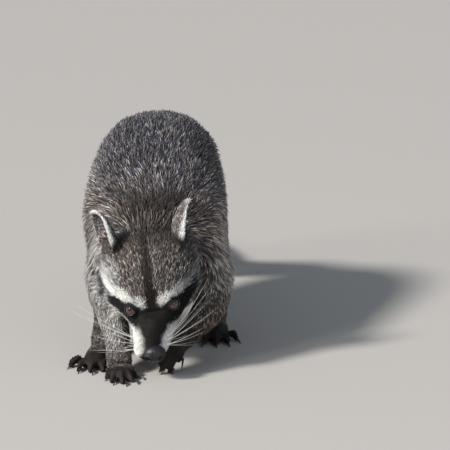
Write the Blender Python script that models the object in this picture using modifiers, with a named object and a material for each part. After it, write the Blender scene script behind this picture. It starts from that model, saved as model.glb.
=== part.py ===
"""A life-size raccoon, standing with its head lowered to nose at the ground.

Metres, +Z up. The head points to -Y, the tail to +Y, and the animal's left side is +X.
Every solid is the outline of the coat, out to the tips of the hair. The flesh is modelled
whole, as lofts and balls melted together, and is then parted into named nodes by thin cuts.
"""

import math

import bmesh
import bpy
from mathutils import Matrix, Vector

# ------------------------------------------------------------------ driving sizes
GAP = 0.00035                          # left between neighbouring solids
FLESH_VOXEL = 0.003                    # grain at which the lofts of the body melt together
FLESH_SMOOTHING = 9
PAW_VOXEL = 0.0012
PAW_SMOOTHING = 4

HEAD_PITCH = math.radians(54)          # nose down from level
HEAD_SWING = math.radians(6)           # nose to the animal's left
HEAD_TWIST = math.radians(-6)          # about the head's own length, crown to its right
NOSE_TIP = Vector((0.0015, -0.004, 0.0295))
MUZZLE_TURN = 0.0045                   # of the nose, to the animal's right

EYE_RADIUS = 0.0086
EYE_PLACE = Vector((0.0242, 0.0590, 0.0155))       # in the head's own frame, left eye
NOSE_PAD = Vector((0.0130, 0.0098, 0.0106))        # half sizes

EAR_HEIGHT = 0.055
EAR_HALF_WIDTH = 0.0195
EAR_THICKNESS = 0.0042
EAR_PLACE = Vector((0.0395, 0.1380, 0.0267))       # root, in the head's own frame, left ear
# From root to tip, each given as if it were the left ear; each ear turns on its own.
EAR_AIM = {"left": Vector((0.40, 0.77, 0.50)), "right": Vector((0.30, 0.80, 0.52))}
EAR_OPENING = {"left": math.radians(107), "right": math.radians(73)}   # turn from the face

CLAW_RADIUS = 0.0017
CLAW_LENGTH = 0.0105

# Triangles kept of the melted flesh, as a share, for each kind of node.
KEPT = {"head": 0.034, "body": 0.0200}
PAW_TRIANGLES = 265
TRUNK_FULLNESS = 2.30                  # power of the trunk's oval section; 2 is an ellipse

# A station of a loft: centre x, y, z, half width, half depth on its two other sides.
# The two depths are above and below on the trunk, and behind and in front on a leg.
TRUNK = [
    (0.000, 0.080, 0.128, 0.036, 0.030, 0.030),
    (-0.002, 0.098, 0.130, 0.062, 0.052, 0.050),
    (-0.004, 0.128, 0.137, 0.078, 0.061, 0.062),
    (-0.007, 0.165, 0.147, 0.086, 0.069, 0.067),
    (-0.008, 0.205, 0.157, 0.089, 0.079, 0.077),
    (-0.007, 0.245, 0.166, 0.089, 0.087, 0.084),
    (-0.005, 0.285, 0.172, 0.087, 0.0925, 0.086),
    (-0.003, 0.320, 0.174, 0.081, 0.0890, 0.080),
    (0.000, 0.352, 0.173, 0.069, 0.075, 0.066),
    (0.000, 0.376, 0.172, 0.048, 0.054, 0.048),
    (0.000, 0.392, 0.170, 0.022, 0.028, 0.026),
]
NECK = [
    (-0.003, 0.185, 0.152, 0.070, 0.060, 0.060),
    (-0.005, 0.148, 0.152, 0.067, 0.054, 0.056),
    (-0.007, 0.118, 0.151, 0.060, 0.047, 0.050),
    (-0.011, 0.088, 0.142, 0.048, 0.038, 0.040),
]
TAIL = [
    (0.000, 0.358, 0.190, 0.034, 0.030, 0.030),
    (0.001, 0.388, 0.176, 0.031, 0.029, 0.029),
    (0.004, 0.418, 0.146, 0.031, 0.030, 0.030),
    (0.008, 0.442, 0.108, 0.033, 0.033, 0.033),
    (0.012, 0.468, 0.070, 0.034, 0.034, 0.034),
    (0.016, 0.502, 0.042, 0.034, 0.034, 0.034),
    (0.020, 0.544, 0.031, 0.032, 0.032, 0.033),
    (0.023, 0.584, 0.026, 0.027, 0.027, 0.028),
    (0.025, 0.612, 0.021, 0.018, 0.018, 0.022),
    (0.026, 0.628, 0.017, 0.007, 0.007, 0.010),
]
TAIL_CUTS = [0.475, 0.560]             # y where the tail's lengths part

LEGS = {
    "foreleg_right": [
        (-0.043, 0.142, 0.190, 0.012, 0.006, 0.006),
        (-0.050, 0.135, 0.162, 0.028, 0.036, 0.036),
        (-0.058, 0.119, 0.130, 0.030, 0.036, 0.036),
        (-0.063, 0.106, 0.088, 0.025, 0.027, 0.027),
        (-0.056, 0.080, 0.060, 0.0200, 0.021, 0.020),
        (-0.049, 0.053, 0.038, 0.0165, 0.016, 0.016),
        (-0.045, 0.038, 0.025, 0.0145, 0.0125, 0.0125),
        (-0.041, 0.025, 0.014, 0.0150, 0.0100, 0.0100),
    ],
    "foreleg_left": [
        (0.042, 0.142, 0.190, 0.012, 0.006, 0.006),
        (0.048, 0.135, 0.162, 0.028, 0.036, 0.036),
        (0.059, 0.122, 0.128, 0.030, 0.038, 0.036),
        (0.066, 0.112, 0.084, 0.026, 0.028, 0.028),
        (0.059, 0.088, 0.064, 0.0210, 0.0210, 0.0210),
        (0.048, 0.068, 0.052, 0.0170, 0.0160, 0.0160),
        (0.040, 0.057, 0.046, 0.0145, 0.0130, 0.0130),
        (0.031, 0.049, 0.036, 0.0140, 0.0110, 0.0110),
    ],
    "hindleg_right": [
        (-0.041, 0.326, 0.228, 0.014, 0.010, 0.010),
        (-0.048, 0.314, 0.182, 0.035, 0.056, 0.044),
        (-0.060, 0.270, 0.149, 0.034, 0.058, 0.050),
        (-0.067, 0.218, 0.116, 0.028, 0.040, 0.034),
        (-0.068, 0.170, 0.078, 0.0200, 0.0240, 0.0220),
        (-0.069, 0.132, 0.044, 0.0145, 0.0165, 0.0160),
        (-0.069, 0.113, 0.024, 0.0135, 0.0140, 0.0140),
        (-0.069, 0.099, 0.014, 0.0135, 0.0110, 0.0120),
    ],
    "hindleg_left": [
        (0.033, 0.332, 0.228, 0.014, 0.010, 0.010),
        (0.037, 0.320, 0.180, 0.035, 0.056, 0.042),
        (0.045, 0.286, 0.145, 0.034, 0.058, 0.050),
        (0.057, 0.242, 0.114, 0.029, 0.042, 0.036),
        (0.067, 0.222, 0.080, 0.0205, 0.0270, 0.0250),
        (0.067, 0.227, 0.045, 0.0145, 0.0170, 0.0170),
        (0.067, 0.221, 0.025, 0.0135, 0.0140, 0.0145),
        (0.067, 0.210, 0.014, 0.0135, 0.0110, 0.0120),
    ],
}
WRIST = 6                              # station of each leg at which its paw begins
SOCKET_REACH = (0.050, 0.050, 0.034, 0.010, 0, 0, 0)   # outward, of the cut round a leg

# The head's own frame has the nose tip at 0, the crown up +Z and the nape at +Y.
# Its last number narrows the upper half of the section, as on the bridge of the nose.
HEAD = [
    (0.0, 0.0040, 0.000, 0.0105, 0.0088, 0.0095, 0.10),
    (0.0, 0.0130, 0.000, 0.0168, 0.0120, 0.0150, 0.30),
    (0.0, 0.0250, 0.000, 0.0216, 0.0150, 0.0190, 0.36),
    (0.0, 0.0370, 0.000, 0.0264, 0.0182, 0.0220, 0.36),
    (0.0, 0.0500, 0.000, 0.0325, 0.0240, 0.0255, 0.30),
    (0.0, 0.0640, 0.000, 0.0415, 0.0325, 0.0290, 0.22),
    (0.0, 0.0820, 0.000, 0.0520, 0.0400, 0.0330, 0.14),
    (0.0, 0.1010, 0.000, 0.0575, 0.0445, 0.0370, 0.08),
    (0.0, 0.1190, 0.000, 0.0580, 0.0455, 0.0385, 0.04),
    (0.0, 0.1360, 0.000, 0.0520, 0.0425, 0.0370, 0.00),
    (0.0, 0.1510, 0.000, 0.0385, 0.0335, 0.0300, 0.00),
    (0.0, 0.1610, 0.000, 0.0230, 0.0200, 0.0180, 0.00),
]

# Digits of a paw: angle off the paw's line, where it leaves the palm, and its length.
FORE_DIGITS = [(-37, 0.011, 0.021), (-17, 0.019, 0.027), (0, 0.022, 0.029),
               (16, 0.019, 0.027), (35, 0.011, 0.022)]
REACHING_DIGITS = [(-25, 0.012, 0.023), (-12, 0.020, 0.029), (0, 0.022, 0.032),
                   (12, 0.020, 0.029), (25, 0.012, 0.022)]
HIND_DIGITS = [(-30, 0.046, 0.017), (-13, 0.055, 0.022), (0, 0.058, 0.023),
               (12, 0.055, 0.022), (27, 0.046, 0.017)]

COAT = {
    "grizzled": (0.150, 0.128, 0.118),
    "mask": (0.240, 0.220, 0.210),
    "sooty": (0.050, 0.040, 0.036),
    "ringed": (0.200, 0.170, 0.145),
    "ear": (0.420, 0.400, 0.380),
    "pad": (0.022, 0.021, 0.024),
    "eye": (0.018, 0.009, 0.005),
}
SHINE = {"pad": 0.35, "eye": 0.05}


# ------------------------------------------------------------------ workshop helpers
def clear_scene():
    for obj in list(bpy.data.objects):
        bpy.data.objects.remove(obj)


def material(name):
    made = bpy.data.materials.get(name)
    if made is None:
        made = bpy.data.materials.new(name)
        made.use_nodes = True
        shader = made.node_tree.nodes["Principled BSDF"]
        shader.inputs["Base Color"].default_value = (*COAT[name], 1.0)
        shader.inputs["Roughness"].default_value = SHINE.get(name, 0.85)
        shader.inputs["Metallic"].default_value = 0.0
    return made


def object_from(bm, name):
    """A new object in the scene from a bmesh, which is freed."""
    bmesh.ops.recalc_face_normals(bm, faces=bm.faces)
    mesh = bpy.data.meshes.new(name)
    bm.to_mesh(mesh)
    bm.free()
    obj = bpy.data.objects.new(name, mesh)
    bpy.context.scene.collection.objects.link(obj)
    return obj


def settle(obj):
    """Turns an object's modifiers into its mesh."""
    graph = bpy.context.evaluated_depsgraph_get()
    mesh = bpy.data.meshes.new_from_object(obj.evaluated_get(graph))
    obj.modifiers.clear()
    obj.data = mesh
    return obj


def copy_of(obj, name):
    twin = bpy.data.objects.new(name, obj.data.copy())
    bpy.context.scene.collection.objects.link(twin)
    return twin


def combine(obj, other, operation):
    """obj cut by, joined to or limited to other, which stays as it is."""
    boolean = obj.modifiers.new("boolean", "BOOLEAN")
    boolean.operation = operation
    boolean.solver = "EXACT"
    boolean.object = other
    return settle(obj)


def discard(*objects):
    for obj in objects:
        bpy.data.objects.remove(obj)


def grown(obj, by):
    """A copy of a solid with every face moved out, for cutting a socket round it."""
    twin = copy_of(obj, obj.name + "_socket")
    displace = twin.modifiers.new("grow", "DISPLACE")
    displace.strength = by
    displace.mid_level = 0.0
    return settle(twin)


def melt(obj, voxel, smoothing):
    """Overlapping shells of one object become one smooth skin."""
    remesh = obj.modifiers.new("melt", "REMESH")
    remesh.mode = "VOXEL"
    remesh.voxel_size = voxel
    smooth = obj.modifiers.new("soften", "SMOOTH")
    smooth.factor = 0.5
    smooth.iterations = smoothing
    return settle(obj)


def thin_out(obj, share):
    """Fewer triangles over the same shape."""
    decimate = obj.modifiers.new("thin", "DECIMATE")
    decimate.ratio = share
    decimate.use_collapse_triangulate = True
    return settle(obj)


# ------------------------------------------------------------------ shapes
def between(rows, steps):
    """Rows of numbers with steps - 1 more between each two, on a Catmull-Rom curve."""
    padded = [rows[0], *rows, rows[-1]]
    found = []
    for i in range(len(rows) - 1):
        a, b, c, d = (Vector(padded[i + k]) for k in range(4))
        for k in range(steps):
            t = k / steps
            found.append(0.5 * (2 * b + (c - a) * t + (2 * a - 5 * b + 4 * c - d) * t**2
                                + (3 * b - a - 3 * c + d) * t**3))
    return [*found, Vector(rows[-1])]


def add_loft(bm, stations, sides=28, steps=4, grow=0.0, fullness=2.0):
    """A closed tube through the stations, of oval sections that are boxier as fullness rises
    above 2. Returns its vertices."""
    rows = between(stations, steps)
    rings = []
    for i, row in enumerate(rows):
        ahead = rows[min(i + 1, len(rows) - 1)].to_3d() - rows[max(i - 1, 0)].to_3d()
        ahead.normalize()
        across = Vector((1, 0, 0))
        across = (across - ahead * across.dot(ahead)).normalized()
        up = across.cross(ahead)
        half_wide, above, below = row[3] + grow, row[4] + grow, row[5] + grow
        pinch = row[6] if len(row) > 6 else 0.0
        ring = []
        for k in range(sides):
            angle = math.tau * k / sides
            high = math.copysign(abs(math.sin(angle)) ** (2 / fullness), math.sin(angle))
            level = math.copysign(abs(math.cos(angle)) ** (2 / fullness), math.cos(angle))
            wide = half_wide * level * (1 - pinch * max(high, 0.0))
            tall = high * (above if high > 0 else below)
            ring.append(bm.verts.new(row.to_3d() + across * wide + up * tall))
        rings.append(ring)
    for near, far in zip(rings, rings[1:]):
        for k in range(sides):
            after = (k + 1) % sides
            bm.faces.new((near[k], near[after], far[after], far[k]))
    bm.faces.new(rings[0])
    bm.faces.new(rings[-1])
    return [vertex for ring in rings for vertex in ring]


def add_ball(bm, centre, radii, turn=(0, 0, 0), detail=20):
    """An ellipsoid, turned by degrees about X, Y and Z. Returns its vertices."""
    turned = Matrix.Identity(3)
    for degrees, axis in zip(turn, "XYZ"):
        turned = Matrix.Rotation(math.radians(degrees), 3, axis) @ turned
    place = Matrix.Translation(centre) @ turned.to_4x4() @ Matrix.Diagonal((*radii, 1))
    return bmesh.ops.create_uvsphere(
        bm, u_segments=detail, v_segments=detail // 2 + 2, radius=1, matrix=place
    )["verts"]


def half_space(point, outward, size=3.0):
    """A big box that fills the side of a plane that outward points to."""
    bm = bmesh.new()
    turn = Vector(outward).to_track_quat("Z", "Y").to_matrix().to_4x4()
    place = Matrix.Translation(point) @ turn @ Matrix.Translation((0, 0, size / 2))
    bmesh.ops.create_cube(bm, size=size, matrix=place)
    return object_from(bm, "half_space")


def leg_space(stations):
    """The space round a leg, as a cutter that meets the flank square to its surface."""
    outer = []
    for (x, *rest), reach in zip(stations, SOCKET_REACH):
        rest[2] += reach
        outer.append((x + math.copysign(reach, x), *rest))
    bm = bmesh.new()
    add_loft(bm, [*outer, *stations[len(outer):]], sides=24, grow=0.005)
    space = melt(object_from(bm, "leg_space"), 0.004, 8)
    return thin_out(space, 360 / (2 * len(space.data.polygons)))


def head_matrix():
    """From the head's own frame to its place."""
    turned = (Matrix.Rotation(HEAD_PITCH, 4, "X") @ Matrix.Rotation(HEAD_SWING, 4, "Z")
              @ Matrix.Rotation(HEAD_TWIST, 4, "Y"))
    return Matrix.Translation(NOSE_TIP) @ turned


def mirrored(vector, side):
    """A place or aim given for the left side (1), on that side or on the right (-1)."""
    return Vector((vector.x * side, vector.y, vector.z))


# ------------------------------------------------------------------ the flesh, whole
def add_head(bm):
    verts = add_loft(bm, HEAD, sides=32)
    verts += add_ball(bm, (0, 0.036, -0.0175), (0.0155, 0.031, 0.0085))             # lower jaw
    for side in (-1, 1):
        verts += add_ball(bm, (side * 0.0108, 0.0165, -0.0055), (0.0090, 0.0140, 0.0098))   # whisker pad
        verts += add_ball(bm, (side * 0.0360, 0.0880, -0.0120), (0.0215, 0.0260, 0.0230))   # cheek
        verts += add_ball(bm, (side * 0.0205, 0.0730, 0.0260), (0.0135, 0.0130, 0.0105))    # brow
        verts += add_ball(bm, (side * 0.0375, 0.1320, 0.0170), (0.0190, 0.0180, 0.0190))    # ear root
    bmesh.ops.transform(bm, matrix=head_matrix(), verts=verts)


def add_body(bm):
    add_loft(bm, TRUNK, sides=36, fullness=TRUNK_FULLNESS)
    add_loft(bm, NECK)
    add_loft(bm, TAIL, sides=24)
    for side in (-1, 1):
        add_ball(bm, (side * 0.050, 0.132, 0.138), (0.031, 0.046, 0.052), (20, 0, 0))   # shoulder
        add_ball(bm, (side * 0.050, 0.298, 0.156), (0.034, 0.060, 0.066), (-25, 0, 0))  # haunch
    for stations in LEGS.values():
        add_loft(bm, stations, sides=24)


def whole_flesh():
    bm = bmesh.new()
    add_head(bm)
    add_body(bm)
    return melt(object_from(bm, "flesh"), FLESH_VOXEL, FLESH_SMOOTHING)


# ------------------------------------------------------------------ small pieces
def ear(side, name):
    """A cupped leaf, wrapped round its own axis and widest below its middle."""
    aim = mirrored(EAR_AIM[name], side).normalized()
    across = aim.cross(Vector((0, 0, 1))).normalized()
    front = across.cross(aim).normalized()
    turn = Matrix.Rotation(side * EAR_OPENING[name], 3, aim)
    across, front = turn @ across, turn @ front
    bm = bmesh.new()
    bmesh.ops.create_grid(bm, x_segments=6, y_segments=6, size=1)
    for vertex in bm.verts:
        u, v = vertex.co.x, (vertex.co.y + 1) / 2
        round_tip = math.sqrt(max(0.0, 1 - max(0.0, (v - 0.42) / 0.59) ** 2.4))
        half_width = EAR_HALF_WIDTH * (0.70 + 0.30 * math.sin(min(v / 0.42, 1) * math.pi / 2))
        half_width *= 0.10 + 0.90 * round_tip
        wrap = math.radians(92 - 52 * v)
        radius = half_width / math.sin(wrap)
        angle = u * wrap
        lean = 0.10 * EAR_HEIGHT * v * v
        vertex.co = (
            mirrored(EAR_PLACE, side)
            + aim * (EAR_HEIGHT * (v - 0.16))
            + across * (radius * math.sin(angle))
            + front * (radius * (0.55 - math.cos(angle)) + lean)
        )
    bmesh.ops.transform(bm, matrix=head_matrix(), verts=bm.verts)
    obj = object_from(bm, "ear_" + name)
    solidify = obj.modifiers.new("thickness", "SOLIDIFY")
    solidify.thickness = EAR_THICKNESS
    solidify.offset = 0.0
    return settle(obj)


def eye(side, name):
    bm = bmesh.new()
    add_ball(bm, mirrored(EYE_PLACE, side), [EYE_RADIUS] * 3, detail=10)
    bmesh.ops.transform(bm, matrix=head_matrix(), verts=bm.verts)
    return object_from(bm, "eye_" + name)


def nose():
    """The bare pad, with a dent for each nostril."""
    bm = bmesh.new()
    add_ball(bm, (0, 0.0050, 0.0015), NOSE_PAD, (-12, 0, 0), detail=12)
    bmesh.ops.transform(bm, matrix=head_matrix(), verts=bm.verts)
    pad = object_from(bm, "nose")
    for side in (-1, 1):
        bm = bmesh.new()
        add_ball(bm, (side * 0.0060, -0.0045, 0.0000), (0.0026, 0.0030, 0.0020),
                 (0, side * 25, 0), detail=6)
        bmesh.ops.transform(bm, matrix=head_matrix(), verts=bm.verts)
        nostril = object_from(bm, "nostril")
        combine(pad, nostril, "DIFFERENCE")
        discard(nostril)
    return pad


def digit_points(angle, start, length, arch, floor):
    """A digit's line in the paw's frame, from inside the palm over its knuckle to its tip."""
    out = Vector((math.sin(math.radians(angle)), -math.cos(math.radians(angle)), 0))
    root = Vector((out.x * start * 0.9, -start, floor + 0.0075))
    return [
        (*root, 0.0056, 0.0056, 0.0056),
        (*(root + out * length * 0.38 + Vector((0, 0, arch))), 0.0048, 0.0050, 0.0050),
        (*(root + out * length * 0.78 + Vector((0, 0, arch * 0.1))), 0.0043, 0.0046, 0.0046),
        (*(root + out * length + Vector((0, 0, -0.0022))), 0.0028, 0.0028, 0.0028),
    ]


def add_claw(bm, tip, direction):
    """A curved, tapering claw that starts inside the digit's tip."""
    drop = Vector((0, 0, -0.0035))
    points = [tip - direction * 0.004, tip + direction * CLAW_LENGTH * 0.45 + drop * 0.15,
              tip + direction * CLAW_LENGTH + drop]
    radii = (CLAW_RADIUS, CLAW_RADIUS * 0.85, 0.0004)
    add_loft(bm, [(*p, r, r * 1.2, r * 1.2) for p, r in zip(points, radii)], sides=4, steps=2)


def past_wrist(stations, gap):
    """The half space beyond a leg's wrist, cut square to the leg."""
    above, wrist, below = (Vector(stations[WRIST + k][:3]) for k in (-1, 0, 1))
    ahead = (below - above).normalized()
    return half_space(wrist + ahead * gap, ahead)


def paw(name, stations, digits, frame, palm, arch, floor):
    """Palm, digits and claws, with the end of the leg's own loft down to the wrist's plane.
    frame carries the paw's own frame, whose digits point to -Y, into place."""
    bm = bmesh.new()
    verts = add_ball(bm, *palm)
    claws = bmesh.new()
    for angle, start, length in digits:
        points = digit_points(angle, start, length, arch, floor)
        verts += add_loft(bm, points, sides=12)
        out = Vector((math.sin(math.radians(angle)), -math.cos(math.radians(angle)), 0))
        add_claw(claws, Vector(points[-1][:3]), out)
    bmesh.ops.transform(bm, matrix=frame, verts=verts)
    bmesh.ops.transform(claws, matrix=frame, verts=claws.verts)
    add_loft(bm, stations[WRIST - 3:], sides=24)
    obj = melt(object_from(bm, name), PAW_VOXEL, PAW_SMOOTHING)
    thin_out(obj, PAW_TRIANGLES / (2 * len(obj.data.polygons)))
    nails = object_from(claws, name + "_claws")
    combine(obj, nails, "UNION")
    beyond = past_wrist(stations, GAP)
    combine(obj, beyond, "INTERSECT")
    over_floor = half_space((0, 0, 0), (0, 0, 1))
    combine(obj, over_floor, "INTERSECT")
    discard(nails, beyond, over_floor)
    return obj


def paw_frame(origin, aim, back):
    """A frame at origin whose -Y runs along aim and whose +Z is towards back of the paw."""
    forward = Vector(aim).normalized()
    up = Vector(back)
    up = (up - forward * up.dot(forward)).normalized()
    side = up.cross(forward)
    return Matrix.Translation(origin) @ Matrix((side, -forward, up)).transposed().to_4x4()


def paws():
    flat_palm = ((0, -0.014, 0.0072), (0.0150, 0.0170, 0.0088))
    reaching_palm = ((0, -0.012, 0.0065), (0.0142, 0.0175, 0.0085))
    sole = ((0, -0.034, 0.0090), (0.0155, 0.0400, 0.0105))
    return [
        paw("forepaw_right", LEGS["foreleg_right"], FORE_DIGITS,
            paw_frame((-0.0415, 0.0360, 0), (0.10, -1, 0), (0, 0, 1)), flat_palm, 0.0048, -0.0030),
        paw("forepaw_left", LEGS["foreleg_left"], REACHING_DIGITS,
            paw_frame((0.0330, 0.0530, 0.0430), (-0.50, -0.40, -0.74), (0.10, -0.93, 0.36)),
            reaching_palm, 0.0040, -0.0010),
        paw("hindpaw_right", LEGS["hindleg_right"], HIND_DIGITS,
            paw_frame((-0.0690, 0.1110, 0), (-0.10, -1, 0), (0, 0, 1)), sole, 0.0040, -0.0028),
        paw("hindpaw_left", LEGS["hindleg_left"], HIND_DIGITS,
            paw_frame((0.0665, 0.2230, 0), (0.03, -1, 0), (0, 0, 1)), sole, 0.0040, -0.0028),
    ]


# ------------------------------------------------------------------ parting the flesh
def head_space():
    """The space round the head, closed at the nape by a plane square to the neck."""
    bm = bmesh.new()
    stations = [(0, -0.012, 0, 0.020, 0.020, 0.020)]
    for x, y, z, wide, above, below, pinch in HEAD:
        slack = 0.005 + 0.003 * min(max((y - 0.075) / 0.045, 0), 1)
        throat = 0.024 * min(max((y - 0.060) / 0.030, 0), 1)
        stations.append((x, y, z, wide + slack, above + slack, below + 0.005 + throat))
    stations[-3:] = [(0, y, 0, 0.059, 0.060, 0.066) for y in (0.135, 0.155, 0.180)]
    add_loft(bm, stations, sides=20, steps=1)
    bmesh.ops.transform(bm, matrix=head_matrix(), verts=bm.verts)
    space = object_from(bm, "head_space")
    normal = (head_matrix().to_3x3() @ Vector((0, 1, -0.58))).normalized()
    beyond = half_space(head_matrix() @ Vector((0, 0.150, 0.030)), normal)
    combine(space, beyond, "DIFFERENCE")
    discard(beyond)
    return space


def part_head(fine, body, sockets):
    """The head, from the finer flesh, and the sockets of its eyes, ears and nose."""
    inside = head_space()
    outside = grown(inside, GAP * 1.4)
    head = combine(fine, inside, "INTERSECT")
    head.name = "head"
    combine(body, outside, "DIFFERENCE")
    for piece in sockets:
        cutter = grown(piece, GAP * 2.0)
        combine(head, cutter, "DIFFERENCE")
        combine(body, cutter, "DIFFERENCE")
        discard(cutter)
    discard(inside, outside)
    return head


def part_legs(body):
    """Each leg down to its wrist, leaving its socket in the body."""
    pieces = []
    for name, stations in LEGS.items():
        inside = leg_space(stations)
        outside = grown(inside, GAP * 1.4)
        paw_side = past_wrist(stations, 0.0)
        leg = combine(copy_of(body, name), inside, "INTERSECT")
        pieces.append(combine(leg, paw_side, "DIFFERENCE"))
        combine(body, outside, "DIFFERENCE")
        discard(inside, outside, paw_side)
    return pieces


def part_by_plane(body, point, outward, name):
    """The side of the body that outward points to, as a new node."""
    near = half_space(point, outward)
    far = half_space(Vector(point) - Vector(outward).normalized() * GAP, -Vector(outward))
    piece = combine(copy_of(body, name), near, "INTERSECT")
    combine(body, far, "INTERSECT")
    discard(near, far)
    return piece


def keep_largest(obj):
    """Drops the crumbs that a cut may leave beside a solid."""
    bm = bmesh.new()
    bm.from_mesh(obj.data)
    unseen, islands = set(bm.verts), []
    while unseen:
        todo, island = [unseen.pop()], []
        while todo:
            vertex = todo.pop()
            island.append(vertex)
            for edge in vertex.link_edges:
                other = edge.other_vert(vertex)
                if other in unseen:
                    unseen.remove(other)
                    todo.append(other)
        islands.append(island)
    islands.sort(key=len)
    for island in islands[:-1]:
        bmesh.ops.delete(bm, geom=island, context="VERTS")
    bm.to_mesh(obj.data)
    bm.free()


def turn_muzzle(obj):
    """Leans the muzzle to the raccoon's right, from nothing at the eyes to the most at the
    nose."""
    place = head_matrix()
    back = place.inverted()
    for vertex in obj.data.vertices:
        at = back @ vertex.co
        share = min(max((0.052 - at.y) / 0.048, 0.0), 1.0)
        at.x -= MUZZLE_TURN * share * share * (3 - 2 * share)
        vertex.co = place @ at


def stand_at_origin(pieces):
    """Moves the raccoon so that the middle of its underside is the origin."""
    corners = [vertex.co for piece in pieces for vertex in piece.data.vertices]
    low = Vector([min(c[i] for c in corners) for i in range(3)])
    high = Vector([max(c[i] for c in corners) for i in range(3)])
    shift = Matrix.Translation((-(low.x + high.x) / 2, -(low.y + high.y) / 2, -low.z))
    for piece in pieces:
        piece.data.transform(shift)


def main():
    clear_scene()
    ears = [ear(-1, "right"), ear(1, "left")]
    eyes = [eye(-1, "right"), eye(1, "left")]
    pad = nose()
    fine = whole_flesh()
    body = thin_out(copy_of(fine, "trunk"), KEPT["body"])
    thin_out(fine, KEPT["head"])
    head = part_head(fine, body, [*ears, *eyes, pad])
    turn_muzzle(head)
    turn_muzzle(pad)
    legs = part_legs(body)
    over_floor = half_space((0, 0, 0), (0, 0, 1))
    combine(body, over_floor, "INTERSECT")
    discard(over_floor)
    neck = part_by_plane(body, (0, 0.122, 0.15), (0, -1, -0.25), "neck")
    tail_root = part_by_plane(body, (0, 0.384, 0.19), (0, 1, -0.35), "tail_root")
    tail_middle = part_by_plane(tail_root, (0, TAIL_CUTS[0], 0), (0, 1, -0.6), "tail_middle")
    tail_tip = part_by_plane(tail_middle, (0, TAIL_CUTS[1], 0), (0, 1, -0.1), "tail_tip")
    finishes = {
        "grizzled": [body, neck], "mask": [head], "sooty": [*legs, *paws()],
        "ringed": [tail_root, tail_middle, tail_tip], "ear": ears, "pad": [pad], "eye": eyes,
    }
    raccoon = bpy.data.collections.new("raccoon")
    bpy.context.scene.collection.children.link(raccoon)
    pieces = []
    for finish, made in finishes.items():
        for piece in made:
            keep_largest(piece)
            piece.data.materials.clear()
            piece.data.materials.append(material(finish))
            piece.data.shade_smooth()
            bpy.context.scene.collection.objects.unlink(piece)
            raccoon.objects.link(piece)
            pieces.append(piece)
    stand_at_origin(pieces)


main()
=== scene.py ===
"""The raccoon's looks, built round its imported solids: one skin with lids and lips, eyes, a nose
pad, claws, whiskers, and a coat of mesh tufts that follow the lie of the hair.

Metres, +Z up; the head points to -Y and the animal's left side is +X. The solids give the
outline of the coat, so the skin lies inside them by the coat's depth.
"""

import math

import bmesh
import bpy
import numpy as np
from mathutils import Matrix, Vector
from mathutils.bvhtree import BVHTree
from mathutils.kdtree import KDTree


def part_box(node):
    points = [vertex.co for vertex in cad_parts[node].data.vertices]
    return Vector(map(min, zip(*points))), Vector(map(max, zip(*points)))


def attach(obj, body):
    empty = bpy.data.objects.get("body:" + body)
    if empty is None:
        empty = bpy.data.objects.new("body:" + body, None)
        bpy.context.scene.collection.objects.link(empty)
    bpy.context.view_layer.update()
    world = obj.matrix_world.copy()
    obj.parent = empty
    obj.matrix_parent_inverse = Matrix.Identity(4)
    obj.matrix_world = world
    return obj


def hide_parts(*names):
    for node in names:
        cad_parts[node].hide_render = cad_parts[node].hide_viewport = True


RANDOM = np.random.default_rng(5)
UP = Vector((0, 0, 1))

# ---- driving sizes
GRAIN = 0.0014                         # voxel at which the solids melt into one skin
SWELL = 0.0005                         # of each solid, so that the cuts between them close
COARSE_TRIANGLES = 150_000             # of the skin, before lids and lips are made finer

# The head's own frame has the nose tip at 0, the crown up +Z and the nape at +Y.
EYE_PLACE = Vector((0.0242, 0.0590, 0.0155))
EYE_RADIUS = 0.0080
EYE_AIM = Vector((0.42, -0.44, 0.80))
EYE_OPENING = (0.0078, 0.0036, 0.0057) # half width, and height above and below the corners
EYE_CORNERS = Vector((0.80, 0.57, -0.20))   # from the inner corner of the eye to the outer
LID = 0.0009                           # thickness of a lid over the eyeball
LID_EDGE = 0.00062                     # radius of the lids' wet edge
EDGE_RISE = 0.0006                     # of its middle over the eyeball
NOSE_PLACE = Vector((0.0, 0.0050, 0.0015))
NOSE_PAD = Vector((0.0130, 0.0098, 0.0106))

EAR_HEIGHT = 0.055
EAR_HALF_WIDTH = 0.0195
EAR_THICKNESS = 0.0034
EAR_PLACE = Vector((0.0395, 0.1380, 0.0267))
EAR_AIM = {1: Vector((0.40, 0.77, 0.50)), -1: Vector((0.30, 0.80, 0.52))}
EAR_OPENING = {1: math.radians(107), -1: math.radians(73)}
SIDES = {1: "left", -1: "right"}       # the animal's own

CLAW_RADIUS = 0.0016
CLAW_LENGTH = 0.0115
CLAW_INSIDE = 0.0035                   # how deep in the toe a claw starts
CLAW_RISE = 0.0053                     # of a claw's root over the underside of its toe
TOE_END = 0.0020                       # skin of a toe past the end of its bones

WHISKER, BROW_HAIR = 0.00023, 0.00016  # radius at the root
PAW_HAIR = {"fore": 0.036, "hind": 0.068}   # how far ahead of the wrist the hair goes
HAIR_ROOT = 0.0006                     # how deep in the skin a tuft starts
ROOT_CELL = 0.006                      # tufts are spread over the skin cell by cell
LOCK = 6                               # tufts to a lock
PALE_SHARE = 0.34                      # of the tufts have pale tips
PIECE_TRIANGLES = 198_000              # at most, in a piece of the coat
UV_PATCH = 0.003                       # a tuft's size in the map named OFBake
SKIN_SHADE = 0.62                      # of the skin, to the coat over it
# The least height over the floor of each kind of piece.
SKIN_FLOOR, COAT_FLOOR, CLAW_FLOOR, WHISKER_FLOOR = 0.0004, 0.0007, 0.0003, 0.0006

CAMERA_DISTANCE = 3.2
CAMERA_ELEVATION = math.radians(14)
VIEW_WIDTH = 0.5202                    # of the picture, at the camera's target


# ---- places
def middle(node):
    low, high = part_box(node)
    return (Vector(low) + Vector(high)) / 2


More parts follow.
